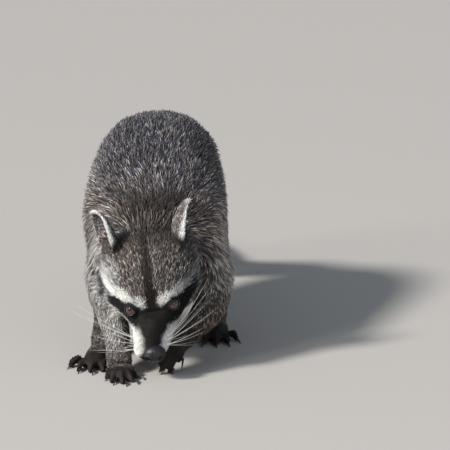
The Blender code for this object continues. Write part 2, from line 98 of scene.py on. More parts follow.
def head_frame():
    """The head's own frame, found from the eyes' and the nose's places."""
    left, right = middle("eye_left"), middle("eye_right")
    across = (left - right).normalized()
    back = (left + right) / 2 - middle("nose")
    back = (back - across * back.dot(across)).normalized()
    lean = math.atan2(EYE_PLACE.z - NOSE_PLACE.z, EYE_PLACE.y - NOSE_PLACE.y)
    back = (Matrix.Rotation(-lean, 3, across) @ back).normalized()
    up = across.cross(back)
    turn = Matrix((across, back, up)).transposed().to_4x4()
    return Matrix.Translation((left + right) / 2 - back * EYE_PLACE.y - up * EYE_PLACE.z) @ turn


def mirrored(vector, side):
    return Vector((vector.x * side, vector.y, vector.z))


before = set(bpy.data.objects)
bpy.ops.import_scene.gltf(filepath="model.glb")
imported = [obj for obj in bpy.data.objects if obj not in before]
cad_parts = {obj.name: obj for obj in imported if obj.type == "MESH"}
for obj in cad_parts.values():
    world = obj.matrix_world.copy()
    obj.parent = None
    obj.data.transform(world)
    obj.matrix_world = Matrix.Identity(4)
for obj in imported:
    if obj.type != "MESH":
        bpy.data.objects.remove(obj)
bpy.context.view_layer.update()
HEAD = head_frame()
RAW = (HEAD @ Vector((0, 0, 0))) - Vector((0.0015, -0.0040, 0.0295))   # the solids' shift


def placed(points):
    """Points given from the solids' own origin."""
    return np.array([Vector(p) + RAW for p in points])


# Lines down the middle of each region, in the direction in which its hair lies.
BONES = {
    "trunk": placed([(-0.002, 0.10, 0.150), (-0.007, 0.165, 0.147), (-0.007, 0.245, 0.166),
                     (-0.003, 0.32, 0.174), (0, 0.385, 0.160)]),
    "neck": placed([(-0.012, 0.06, 0.150), (-0.008, 0.11, 0.152), (-0.004, 0.17, 0.152)]),
    "tail": placed([(0, 0.358, 0.190), (0.001, 0.388, 0.176), (0.004, 0.418, 0.146),
                    (0.008, 0.442, 0.108), (0.012, 0.468, 0.070), (0.016, 0.502, 0.042),
                    (0.020, 0.544, 0.031), (0.023, 0.584, 0.026), (0.026, 0.628, 0.017)]),
    "foreleg_right": placed([(-0.050, 0.135, 0.190), (-0.058, 0.119, 0.130),
                             (-0.063, 0.106, 0.088), (-0.056, 0.080, 0.060),
                             (-0.049, 0.053, 0.038), (-0.041, 0.025, 0.014)]),
    "foreleg_left": placed([(0.048, 0.135, 0.190), (0.059, 0.122, 0.128), (0.066, 0.112, 0.084),
                            (0.059, 0.088, 0.064), (0.048, 0.068, 0.052), (0.031, 0.049, 0.036)]),
    "hindleg_right": placed([(-0.048, 0.314, 0.190), (-0.060, 0.270, 0.149),
                             (-0.067, 0.218, 0.116), (-0.068, 0.170, 0.078),
                             (-0.069, 0.132, 0.044), (-0.069, 0.099, 0.014)]),
    "hindleg_left": placed([(0.037, 0.320, 0.190), (0.045, 0.286, 0.145), (0.057, 0.242, 0.114),
                            (0.067, 0.222, 0.080), (0.067, 0.227, 0.045), (0.067, 0.210, 0.014)]),
}


def paw_frame(origin, aim, back):
    """A frame at origin whose -Y runs along aim and whose +Z is towards the back of the paw."""
    forward = Vector(aim).normalized()
    up = Vector(back)
    up = (up - forward * up.dot(forward)).normalized()
    turn = Matrix((up.cross(forward), -forward, up)).transposed().to_4x4()
    return Matrix.Translation(Vector(origin) + RAW) @ turn


# Digits of a paw: angle off the paw's line, where it leaves the palm, and its length.
FORE_DIGITS = [(-37, 0.011, 0.021), (-17, 0.019, 0.027), (0, 0.022, 0.029), (16, 0.019, 0.027),
               (35, 0.011, 0.022)]
REACHING_DIGITS = [(-25, 0.012, 0.023), (-12, 0.020, 0.029), (0, 0.022, 0.032),
                   (12, 0.020, 0.029), (25, 0.012, 0.022)]
HIND_DIGITS = [(-30, 0.046, 0.017), (-13, 0.055, 0.022), (0, 0.058, 0.023), (12, 0.055, 0.022),
               (27, 0.046, 0.017)]
PAWS = {
    "forepaw_right": (paw_frame((-0.0415, 0.0360, 0), (0.10, -1, 0), UP), FORE_DIGITS),
    "forepaw_left": (paw_frame((0.0330, 0.0530, 0.0430), (-0.50, -0.40, -0.74),
                               (0.10, -0.93, 0.36)), REACHING_DIGITS),
    "hindpaw_right": (paw_frame((-0.0690, 0.1110, 0), (-0.10, -1, 0), UP), HIND_DIGITS),
    "hindpaw_left": (paw_frame((0.0665, 0.2230, 0), (0.03, -1, 0), UP), HIND_DIGITS),
}
DIGIT_FLOOR = dict(zip(PAWS, (-0.0030, -0.0010, -0.0028, -0.0028)))

LEGS = ["foreleg_left", "foreleg_right", "hindleg_left", "hindleg_right"]
REGIONS = ["trunk", "neck", "head", "ear_left", "ear_right", "tail", *LEGS, *PAWS]
REGION_OF = {"tail_root": "tail", "tail_middle": "tail", "tail_tip": "tail", "eye_left": "head",
             "eye_right": "head", "nose": "head"}


def digit_line(angle, start):
    """The way a digit points in its paw's frame, and where it leaves the palm."""
    out = Vector((math.sin(math.radians(angle)), -math.cos(math.radians(angle)), 0))
    return out, Vector((out.x * start * 0.9, -start, 0))


def along_paw(points, name):
    """How far ahead of the wrist each point is, and where the paw's hair ends."""
    ahead = -moved(points, PAWS[name][0].inverted())[:, 1]
    return ahead, PAW_HAIR[name[:4]]


# ---- numbers over points
def shares(regions):
    """How far each point belongs to each region, by the region's name."""
    return dict(zip(REGIONS, regions.T))


def numbers(items, key, width, kind=float):
    """Rows of width numbers, one for each of a mesh's items."""
    rows = np.empty(len(items) * width, kind)
    items.foreach_get(key, rows)
    return rows.reshape(-1, width)


def set_tint(mesh, colours):
    """Stores a colour for each vertex."""
    rows = np.ones((len(mesh.vertices), 4), np.float32)
    rows[:, :3] = colours
    mesh.color_attributes.new("Tint", "FLOAT_COLOR", "POINT")
    mesh.color_attributes["Tint"].data.foreach_set("color", rows.ravel())


def ramp(x, low, high):
    """0 below low, 1 above high, smooth between; low may be the greater."""
    t = np.clip((x - low) / (high - low), 0, 1)
    return t * t * (3 - 2 * t)


def band(x, centre, half, soft):
    """1 within half of centre, fading over soft."""
    return 1 - ramp(np.abs(x - centre), half - soft / 2, half + soft / 2)


def unit(v):
    return v / np.maximum(np.linalg.norm(v, axis=1, keepdims=True), 1e-12)


def flat_on(normals, ways):
    """Ways turned to run along the skin."""
    return unit(ways - normals * np.sum(ways * normals, axis=1, keepdims=True))


def moved(points, matrix):
    m = np.array(matrix)
    return points @ m[:3, :3].T + m[:3, 3]


def muzzle_turn(y):
    """How far the muzzle leans to the animal's right, y behind the nose."""
    return -0.0045 * ramp(y, 0.052, 0.004)


def to_head(points):
    h = moved(np.atleast_2d(points), HEAD.inverted())
    h[:, 0] -= muzzle_turn(h[:, 1])
    return h


def from_head(h):
    h = np.array(h, float)
    h[:, 0] += muzzle_turn(h[:, 1])
    return moved(h, HEAD)


def folded(h):
    """Points of the head, with those on its right mirrored to its left."""
    return np.column_stack([np.abs(h[:, 0]), h[:, 1], h[:, 2]])


def turned(vectors, matrix):
    return vectors @ np.array(matrix)[:3, :3].T


def along_bone(points, bone):
    """For each point, how far along the bone its nearest point is, that point, and the bone's
    direction there."""
    best = np.full(len(points), np.inf)
    far, foot, way = np.zeros(len(points)), np.zeros_like(points), np.zeros_like(points)
    joints = unit(np.vstack([bone[1] - bone[0], bone[2:] - bone[:-2], bone[-1] - bone[-2]]))
    start = 0.0
    for i in range(len(bone) - 1):
        step = bone[i + 1] - bone[i]
        length = np.linalg.norm(step)
        t = np.clip(((points - bone[i]) @ step) / length**2, 0, 1)
        at = bone[i] + t[:, None] * step
        gap = np.linalg.norm(points - at, axis=1)
        near = gap < best
        best[near], far[near], foot[near] = gap[near], start + t[near] * length, at[near]
        way[near] = joints[i] + t[near, None] * (joints[i + 1] - joints[i])
        start += length
    return far, foot, unit(way)


def waves(points, size, seed):
    """Smooth random numbers, about -1 to 1, that vary over a length of size."""
    random = np.random.default_rng(seed)
    total = np.zeros(len(points))
    for octave in range(2):
        for _ in range(5):
            way = random.normal(size=3)
            way *= 2**octave * 2.4 / (size * np.linalg.norm(way))
            total += np.sin(points @ way + random.uniform(0, math.tau)) / (5**0.5 * 2**octave)
    return total


class Surface:
    """A triangle mesh's numbers, with averaging over its neighbours."""

    def __init__(self, mesh):
        self.points = numbers(mesh.vertices, "co", 3)
        self.triangles = numbers(mesh.loops, "vertex_index", 1, np.int32).reshape(-1, 3)
        edges = numbers(mesh.edges, "vertices", 2, np.int32)
        ends = np.concatenate([edges, edges[:, ::-1]])
        ends = ends[np.argsort(ends[:, 0], kind="stable")]
        self.others = ends[:, 1]
        self.starts = np.searchsorted(ends[:, 0], np.arange(len(self.points)))
        self.degree = np.bincount(ends[:, 0], minlength=len(self.points))[:, None]

    def spread(self, values, rounds):
        """values, each moved half way to its neighbours' average, rounds times."""
        for _ in range(rounds):
            average = np.add.reduceat(values[self.others], self.starts, axis=0) / self.degree
            values = values + 0.5 * (average - values)
        return values

    def normals(self):
        a, b, c = (self.points[self.triangles[:, k]] for k in range(3))
        faces = np.cross(b - a, c - a)
        total = np.zeros_like(self.points)
        for k in range(3):
            for axis in range(3):
                total[:, axis] += np.bincount(self.triangles[:, k], faces[:, axis],
                                              minlength=len(total))
        return unit(total)


# ---- workshop helpers
def linked(name, data, material=None):
    """A new object in the scene, of one material where one is given."""
    obj = bpy.data.objects.new(name, data)
    bpy.context.scene.collection.objects.link(obj)
    if material:
        data.materials.append(material)
    return obj


def object_from(bm, name, material=None):
    mesh = bpy.data.meshes.new(name)
    bm.to_mesh(mesh)
    bm.free()
    mesh.shade_smooth()
    return linked(name, mesh, material)


def settle(obj):
    """Makes an object's modifiers part of its mesh."""
    graph = bpy.context.evaluated_depsgraph_get()
    mesh = bpy.data.meshes.new_from_object(obj.evaluated_get(graph))
    obj.modifiers.clear()
    obj.data = mesh
    return obj


def join_rings(bm, rings):
    """Makes faces between each ring of vertices and the next."""
    sides = len(rings[0])
    for near, far in zip(rings, rings[1:]):
        for k in range(sides):
            bm.faces.new((near[k], near[(k + 1) % sides], far[(k + 1) % sides], far[k]))


def add_tube(bm, rows, sides, flat=1.0, up=UP):
    """A closed tube through rows of (point, radius), its height flat times its width."""
    rings = []
    for i, (point, radius) in enumerate(rows):
        ahead = (rows[min(i + 1, len(rows) - 1)][0] - rows[max(i - 1, 0)][0]).normalized()
        across = ahead.cross(up).normalized()
        high = across.cross(ahead)
        rings.append([bm.verts.new(point + across * radius * math.cos(math.tau * k / sides)
                                   + high * radius * flat * math.sin(math.tau * k / sides))
                      for k in range(sides)])
    join_rings(bm, rings)
    bm.faces.new(rings[0][::-1])
    bm.faces.new(rings[-1])


# ---- the skin's source
def ear_axes(side):
    """The ear's aim, the line across it, and the way its hollow faces."""
    aim = mirrored(EAR_AIM[side], side).normalized()
    across = aim.cross(UP).normalized()
    front = across.cross(aim).normalized()
    turn = Matrix.Rotation(side * EAR_OPENING[side], 3, aim)
    return aim, turn @ across, turn @ front


def ear_point(u, v, side, offset=0.0):
    """A point of the ear's cupped leaf. u runs across from -1 to 1, v from root to tip, and
    offset is towards the hollow side."""
    aim, across, front = ear_axes(side)
    round_tip = math.sqrt(max(0.0, 1 - max(0.0, (v - 0.42) / 0.59) ** 2.4))
    half_width = EAR_HALF_WIDTH * (0.70 + 0.30 * math.sin(min(v / 0.42, 1) * math.pi / 2))
    half_width *= 0.10 + 0.90 * round_tip
    wrap = math.radians(92 - 52 * v)
    radius = half_width / math.sin(wrap)
    inner = radius - offset
    return (mirrored(EAR_PLACE, side) + aim * (EAR_HEIGHT * (v - 0.16))
            + across * (inner * math.sin(u * wrap))
            + front * (radius * 0.55 - inner * math.cos(u * wrap) + 0.10 * EAR_HEIGHT * v * v))


def ear_solid(side):
    """The ear's leaf as a closed solid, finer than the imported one."""
    steps = 26
    bm = bmesh.new()
    outer, inner = [[[bm.verts.new(HEAD @ ear_point(2 * i / steps - 1, j / steps, side, offset))
                      for i in range(steps + 1)] for j in range(steps + 1)]
                    for offset in (-EAR_THICKNESS / 2, EAR_THICKNESS / 2)]
    for sheet, order in ((outer, 1), (inner, -1)):
        for j in range(steps):
            for i in range(steps):
                bm.faces.new((sheet[j][i], sheet[j][i + 1], sheet[j + 1][i + 1],
                              sheet[j + 1][i])[::order])
    rim = ([(0, i) for i in range(steps)] + [(j, steps) for j in range(steps)]
           + [(steps, i) for i in range(steps, 0, -1)] + [(j, 0) for j in range(steps, 0, -1)])
    for (j, i), (m, k) in zip(rim, rim[1:] + rim[:1]):
        bm.faces.new((outer[j][i], inner[j][i], inner[m][k], outer[m][k]))
    bmesh.ops.recalc_face_normals(bm, faces=bm.faces)
    return bm


def clipped_claws(bm, name):
    """Draws a paw's claws back into its toes: the skin ends where each claw begins."""
    paw, digits = PAWS[name]
    into = paw.inverted()
    for vertex in bm.verts:
        place = into @ vertex.co
        nearest, past = 0.0045, 0.0
        for angle, start, length in digits:
            out, root = digit_line(angle, start)
            aside = abs((place - root).cross(out).z)
            if aside < nearest:
                nearest, past = aside, (place - root).dot(out) - length - TOE_END
                end, along = root + out * (length + TOE_END), out
                end.z = DIGIT_FLOOR[name] + CLAW_RISE
        if past > 0:
            place = end + (place - along * past - end) * max(0.0, 1 - past / 0.004)
        vertex.co = paw @ place


def melted_flesh():
    """All nodes joined and melted into one closed skin."""
    source = bmesh.new()
    for name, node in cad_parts.items():
        if name.startswith("ear_"):
            bm = ear_solid(1 if name == "ear_left" else -1)
        else:
            bm = bmesh.new()
            bm.from_mesh(node.data)
            bmesh.ops.remove_doubles(bm, verts=bm.verts, dist=1e-5)
            bmesh.ops.recalc_face_normals(bm, faces=bm.faces)
            if name in PAWS:
                clipped_claws(bm, name)
            if not name.startswith(("eye", "nose")):
                bm.normal_update()
                for vertex in bm.verts:
                    vertex.co += vertex.normal * SWELL
        piece = bpy.data.meshes.new(name)
        bm.to_mesh(piece)
        bm.free()
        source.from_mesh(piece)
        bpy.data.meshes.remove(piece)
    skin = object_from(source, "skin")
    remesh = skin.modifiers.new("melt", "REMESH")
    remesh.mode = "VOXEL"
    remesh.voxel_size = GRAIN
    return settle(skin)


def nearest_regions(points):
    """A 1 in the column of the region that each point belongs to."""
    corners, faces, owners = [], [], []
    for name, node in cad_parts.items():
        mesh = node.data
        base = len(corners)
        corners += [v.co.copy() for v in mesh.vertices]
        faces += [[base + i for i in p.vertices] for p in mesh.polygons]
        owners += [REGIONS.index(REGION_OF.get(name, name))] * len(mesh.polygons)
    tree = BVHTree.FromPolygons(corners, faces)
    found = np.zeros((len(points), len(REGIONS)))
    for i, point in enumerate(points):
        found[i, owners[tree.find_nearest(point)[2]]] = 1
    return found


# ---- the eyes' surroundings
def eye_axes(side):
    """The eye's centre, its aim, the line from inner to outer corner, and towards the brow."""
    aim = EYE_AIM.normalized()
    corners = (EYE_CORNERS - aim * EYE_CORNERS.dot(aim)).normalized()
    brow = aim.cross(corners)
    return [np.array(mirrored(v, side)) for v in (EYE_PLACE, aim, corners, brow)]


HALF_WIDE, UPPER, LOWER = (size / EYE_RADIUS for size in EYE_OPENING)
UPPER_SHIFT = (HALF_WIDE**2 - UPPER**2) / (2 * UPPER)
LOWER_SHIFT = (HALF_WIDE**2 - LOWER**2) / (2 * LOWER)


def from_lids(head_points, side):
    """How far each point is from the edge of the lids along the eyeball (less than 0 in the
    opening), its distance from the eye's centre, and its angles round the eye."""
    centre, aim, corners, brow = eye_axes(side)
    out = head_points - centre
    reach = np.linalg.norm(out, axis=1)
    front, u, v = out @ aim, out @ corners, out @ brow
    angle = np.arctan2(np.hypot(u, v), front)
    round_ = np.maximum(np.hypot(u, v), 1e-9)
    u, v = angle * u / round_, angle * v / round_
    edge = np.maximum(np.hypot(u, v + UPPER_SHIFT) - UPPER_SHIFT - UPPER,
                      np.hypot(u, v - LOWER_SHIFT) - LOWER_SHIFT - LOWER)
    return edge * EYE_RADIUS, reach, u, v


def near_eyes(head_points, measure=0):
    """The distance to the edge of the nearer eye's lids, or with 1 to its centre."""
    return np.minimum(*(from_lids(head_points, side)[measure] for side in SIDES))


# ---- the markings
def line_distance(points, line):
    """How far each point is from a line through several places."""
    best = np.full(len(points), np.inf)
    for a, b in zip(line, line[1:]):
        a, b = np.array(a), np.array(b)
        t = np.clip((points - a) @ (b - a) / ((b - a) @ (b - a)), 0, 1)
        best = np.minimum(best, np.linalg.norm(points - a - t[:, None] * (b - a), axis=1))
    return best


BROW = [(0.0105, 0.0500, 0.022), (0.0125, 0.0570, 0.027), (0.0215, 0.0625, 0.028),
        (0.0320, 0.0700, 0.025), (0.0420, 0.0780, 0.017), (0.0500, 0.0880, 0.010)]
MASK = [(0.0060, 0.0450, 0.020), (0.0170, 0.0500, 0.016), (0.0260, 0.0560, 0.011),
        (0.0370, 0.0640, 0.005), (0.0460, 0.0750, 0.004), (0.0530, 0.0860, 0.004)]
CHEEK = [(0.0150, 0.0250, 0.000), (0.0290, 0.0420, -0.008), (0.0420, 0.0640, -0.010),
         (0.0560, 0.0900, -0.006)]

BLACK, SOOT, UMBER, SLATE = np.array([(0.010, 0.009, 0.009), (0.022, 0.017, 0.015),
                                      (0.052, 0.042, 0.036), (0.105, 0.102, 0.112)])
GRIZZLE, BUFF, PALE, WHITE = np.array([(0.168, 0.148, 0.138), (0.300, 0.255, 0.210),
                                       (0.470, 0.450, 0.420), (0.800, 0.790, 0.760)])


def lay(colour, over, amount):
    """colour laid over another, or over rows of others, by the amount at each point."""
    return over + np.clip(amount, 0, 1)[:, None] * (colour - over)


def head_markings(h):
    """The head's colours at points in its own frame."""
    x, y, z = h.T
    a = np.abs(x)
    drift = waves(h, 0.010, 3) * 0.0014
    colour = lay(UMBER, GRIZZLE * 0.70, ramp(y, 0.100, 0.140) * 0.7)
    # pale patches at the temples, whiter on the animal's right: the difference between the sides is
    # painted light and shade
    colour = lay(WHITE, colour, ramp(a, 0.026, 0.050) * ramp(z, -0.008, 0.008)
                 * band(y, 0.096, 0.016, 0.030) * (0.36 + 0.30 * np.tanh(-x / 0.01)))
    # below the level of the mask: pale cheeks, a white muzzle and chin, a browner throat
    below = ramp(z, 0.006, -0.006) * ramp(y, 0.150, 0.105)
    colour = lay(PALE, colour, below)
    colour = lay(WHITE, colour, (1 - ramp(line_distance(folded(h), CHEEK), 0.006, 0.016))
                 * (0.12 + 0.73 * ramp(y, 0.050, 0.032)))
    # grizzle over the cheeks, heavier on the animal's left: that extra darkness is painted shade
    colour = lay(GRIZZLE * 1.2, colour,
                 below * ramp(y, 0.038, 0.062) * (0.45 + 0.35 * ramp(x, -0.03, 0.02)))
    colour = lay(GRIZZLE, colour, ramp(z, -0.030, -0.042) * ramp(y, 0.040, 0.070) * 0.7)
    colour = lay(WHITE, colour, ramp(y, 0.046, 0.034) * ramp(z, 0.010, 0.003))
    # the brows, widening outwards
    brow = line_distance(folded(h), BROW) + drift
    wide = 0.0042 + 0.0034 * ramp(a, 0.016, 0.046) - 0.0014 * ramp(x, 0.016, 0.030)
    colour = lay(WHITE, colour, (1 - ramp(brow, wide - 0.001, wide + 0.0028))
                 * (1 - 0.8 * ramp(x, 0.033, 0.045)))
    # the mask, the bridge of the nose and the stripe up the forehead
    mask = line_distance(folded(h), MASK) + drift
    half = 0.0098 - 0.0050 * ramp(a, 0.030, 0.054) + 0.0042 * ramp(y, 0.056, 0.047)
    keep = 1 - (1 - ramp(brow, wide - 0.002, wide + 0.001)) * ramp(z + y * 0.5, 0.046, 0.052)
    colour = lay(BLACK, colour, (1 - ramp(mask, half, half + 0.0026)) * keep)
    spine = 0.0088 + 0.0048 * band(y, 0.036, 0.010, 0.016)
    spine = spine + (0.0044 - spine) * ramp(y, 0.046, 0.058)
    spine = spine - 0.0016 * ramp(y, 0.070, 0.100)
    colour = lay(SOOT * (0.50 + 0.45 * ramp(y, 0.05, 0.08))[:, None], colour,
                 (1 - ramp(a + drift, spine - 0.001, spine + 0.0035)) * ramp(z, 0.002, 0.006)
                 * (1 - 0.15 * ramp(y, 0.06, 0.11)))
    for side in SIDES:
        edge, _, _, v = from_lids(h, side)
        colour = lay(BLACK, colour, ramp(edge - 0.0016 * ramp(v, 0, 0.4), 0.0036, 0.0018))
    # lips and the skin round the nose are black; the band along the mouth line is also painted
    # shade in the closed mouth's crease
    colour = lay(BLACK, colour,
                 (1 - ramp(np.abs(mouth_line(h)), 0.0009, 0.0022)) * ramp(y, 0.052, 0.044))
    return lay(BLACK, colour, ramp(y, 0.0080, 0.0035))


def mouth_line(h):
    """How far each point is above the line of the closed mouth."""
    return h[:, 2] + 0.0105 + 0.10 * h[:, 1]


def markings(points, regions, bones):
    """The colour of the coat at each point, before its strands are varied."""
    h = to_head(points)
    x, y, z = points.T
    patchy = waves(points, 0.045, 7)
    # trunk: slate along the back, browner and paler lower down
    trunk = lay(SLATE, GRIZZLE, ramp(z, 0.120, 0.235))
    trunk = lay(BUFF, trunk, ramp(z, 0.125, 0.085) * 0.7)
    trunk = lay(UMBER, trunk, ramp(patchy, 0.2, 1.4) * 0.45)
    # a pale patch on the animal's right shoulder, partly the coat's own colour and partly painted
    # sunlight
    trunk = lay(PALE, trunk, ramp(x, 0.010, -0.055) * ramp(y, -0.06, -0.14) * ramp(z, 0.185, 0.130))
    # painted rim light: the upper side of the animal's right flank and rump is painted paler
    trunk = lay(PALE, trunk, ramp(x, -0.045, -0.085) * ramp(z, 0.235, 0.190) * 0.28)
    # the lower neck's grizzle is raised to 1.3 times, painted light that lifts the head's shadow on
    # it
    neck = lay(UMBER, GRIZZLE * 1.3, ramp(z, 0.140, 0.180))
    neck = lay(BUFF, neck, ramp(z, 0.115, 0.090) * 0.7)
    # pale on the animal's right side of the neck, partly the coat's own colour and partly painted
    # sunlight
    neck = lay(PALE, neck, ramp(x, -0.018, -0.046) * ramp(z, 0.180, 0.135) * 0.9)
    # tail: pale rings and dark ones, with a dark end
    far = bones["tail"][0]
    ring = ramp(np.sin(math.tau * (far + 0.004 * patchy - 0.052) / 0.050), -0.35, 0.30)
    tail = lay(BUFF, SOOT, ring * ramp(far, 0.325, 0.310))
    tail = lay(trunk, tail, ramp(far, 0.045, 0.015))
    looks = {"trunk": trunk, "neck": neck, "head": head_markings(h), "tail": tail}
    for name in LEGS:
        far, foot, _ = bones[name]
        far = far + 0.006 * patchy - (0.045 if name.startswith("hind") else 0)
        # the animal's left legs are painted much paler than its right: painted light that lifts the
        # shade on that side
        pale, brown = (2.4, 3.4) if name.endswith("left") else (1.1, 1.7)
        leg = lay(UMBER * brown, GRIZZLE * pale, ramp(far, 0.090, 0.160))
        if name.startswith("fore"):
            leg = lay(SOOT * 1.7, leg, ramp(far, 0.150, 0.210))
        if name == "foreleg_right":
            # a pale front on the right foreleg, partly the coat's own colour and partly painted
            # sunlight
            leg = lay(PALE * 1.10, leg, ramp(foot[:, 1] - y, -0.004, 0.008)
                      * (1 - 0.55 * ramp(far, 0.170, 0.240)) * 0.9)
            leg = lay(UMBER * 1.3, leg, ramp(x - foot[:, 0] + 0.003 * patchy, 0.003, 0.010)
                      * ramp(far, 0.080, 0.110) * 0.75)
        looks[name] = leg
    for name in PAWS:
        ahead, reach = along_paw(points, name)
        reach -= 0.006 if name.startswith("fore") else 0.008
        # the left forepaw's back is painted darker than the other paws', partly its own colour and
        # partly painted shade
        back = UMBER * 1.4 if name == "forepaw_left" else GRIZZLE * 1.1
        looks[name] = lay(SOOT * 1.4, back,
                          ramp(ahead + 0.004 * patchy, reach * 0.25, reach * 0.9))
    for side, word in SIDES.items():
        v, u, hollow = ear_place(h, side)
        ear = lay(UMBER, GRIZZLE * 1.3, ramp(v, 0.35, 0.05))
        ear = lay(SLATE * 0.8, ear, hollow * 0.95)
        ear = lay(WHITE, ear, np.maximum(ramp(v, 0.88, 0.96), ramp(np.abs(u), 0.90, 1.00)
                                         * ramp(v, 0.10, 0.30)))
        looks["ear_" + word] = lay(BLACK, ear, (1 - hollow) * ramp(v, 0.24, 0.10) * 0.9)
    share = shares(regions)
    return np.clip(sum(share[name][:, None] * look for name, look in looks.items()), 0.004, 0.9)


def ear_place(h, side):
    """Where points in the head's frame are on the ear: up it, across it, and 1 on its hollow
    side."""
    aim, across, front = map(np.array, ear_axes(side))
    root = np.array(mirrored(EAR_PLACE, side))
    rows = np.linspace(0, 1, 21)
    sheet = np.array([[ear_point(k / 6 - 1, t, side) for k in range(13)] for t in rows]) - root
    out = h - root
    v = out @ aim / EAR_HEIGHT + 0.16
    wide = np.interp(v, rows, np.abs(sheet[:, 0] @ across))
    u = out @ across / np.maximum(wide, 0.002)
    depth = sheet @ front
    row, col = np.clip(v * 20, 0, 19.99), np.clip((u + 1) * 6, 0, 11.99)
    i, j = row.astype(int), col.astype(int)
    s, t = row - i, col - j
    level = (depth[i, j] * (1 - s) * (1 - t) + depth[i + 1, j] * s * (1 - t)
             + depth[i, j + 1] * (1 - s) * t + depth[i + 1, j + 1] * s * t)
    return v, u, (out @ front > level).astype(float)


# ---- the coat's depth and lie
TRUNK_DEPTH, NECK_DEPTH, TAIL_DEPTH = 0.0080, 0.0078, 0.0115


def head_depth(h):
    """The coat's depth at points in the head's frame."""
    x, y, z = h.T
    deep = 0.0013 + 0.0028 * ramp(y, 0.045, 0.110) + 0.0012 * ramp(y, 0.12, 0.16)
    cheek = ramp(np.abs(x), 0.026, 0.050) * ramp(z, 0.020, -0.004) * ramp(y, 0.055, 0.090)
    return deep + 0.0055 * cheek


def coat_depth(points, regions, bones):
    """How far the skin lies inside the coat's outline."""
    share = shares(regions)
    depth = (share["trunk"] * TRUNK_DEPTH + share["neck"] * NECK_DEPTH
             + share["tail"] * TAIL_DEPTH * (1 - 0.35 * ramp(bones["tail"][0], 0.28, 0.34))
             + share["head"] * head_depth(to_head(points)))
    for name in LEGS:
        high = 0.012 if name.startswith("fore") else 0.014
        depth += share[name] * (0.0022 + (high - 0.0022) * ramp(bones[name][0], 0.13, 0.03))
    for name in PAWS:
        depth += share[name] * 0.0007
    return depth


def hair_length(points, regions, bones):
    """How long the tufts are at each point."""
    h = to_head(points)
    a, y, z = np.abs(h[:, 0]), h[:, 1], h[:, 2]
    head = 0.0042 + 0.0044 * ramp(y, 0.045, 0.100) + 0.0090 * ramp(y, 0.12, 0.16)
    head += 0.013 * ramp(a, 0.028, 0.052) * ramp(z, 0.022, -0.002) * ramp(y, 0.055, 0.09)
    head += 0.006 * ramp(a, 0.034, 0.050) * band(y, 0.10, 0.02, 0.02)
    head += 0.0035 * ramp(a, 0.011, 0.016) * band(y, 0.020, 0.010, 0.010) * ramp(z, 0.006, 0.0)
    head = head - (head - 0.0026) * ramp(near_eyes(h), 0.010, 0.002)
    share = shares(regions)
    length = (share["trunk"] * 0.0185 + share["neck"] * 0.0185 + share["tail"] * 0.031
              + share["head"] * head)
    for name in LEGS:
        length += share[name] * (0.0085 + 0.0175 * ramp(bones[name][0], 0.14, 0.04))
    for name in PAWS:
        ahead, reach = along_paw(points, name)
        length += share[name] * (0.0056 - 0.0028 * ramp(ahead, 0.2 * reach, reach))
    for word in SIDES.values():
        length += share["ear_" + word] * 0.0048
    return length


def hair_lie(points, normals, regions, bones):
    """The direction in which the hair lies at each point, along the skin."""
    h = to_head(points)
    x, y, z = h.T
    share = {name: column[:, None] for name, column in shares(regions).items()}
    cheek = ramp(np.abs(x), 0.022, 0.046) * ramp(z, 0.020, 0.000) * ramp(y, 0.045, 0.080)
    lie = np.column_stack([np.tanh(x / 0.012) * (0.22 + 0.75 * cheek), 1.0 - 0.45 * cheek,
                           0.10 - 0.45 * cheek])
    for side in SIDES:
        away = unit(h - eye_axes(side)[0])
        lie += away * ramp(from_lids(h, side)[0], 0.009, 0.002)[:, None] * 1.2
    total = share["head"] * unit(turned(lie, HEAD))
    for name, hang in (("trunk", 0.42), ("neck", 0.35), ("tail", 0.10)):
        _, foot, way = bones[name]
        flank = ramp(unit(points - foot)[:, 2], 0.95, 0.2)[:, None]
        total += share[name] * unit(way + np.array([0, 0, -hang]) * flank)
    for name in LEGS:
        total += share[name] * unit(bones[name][2] + np.array([0, 0.35, -0.25]))
    for name, (paw, _) in PAWS.items():
        total += share[name] * unit(turned(np.array([[0, -1.0, -0.1]]), paw))
    for side, word in SIDES.items():
        total += share["ear_" + word] * turned(np.array([ear_axes(side)[0]]), HEAD)
    return flat_on(normals, total)


# ---- sculpting the skin
def bone_places(points):
    return {name: along_bone(points, bone) for name, bone in BONES.items()}


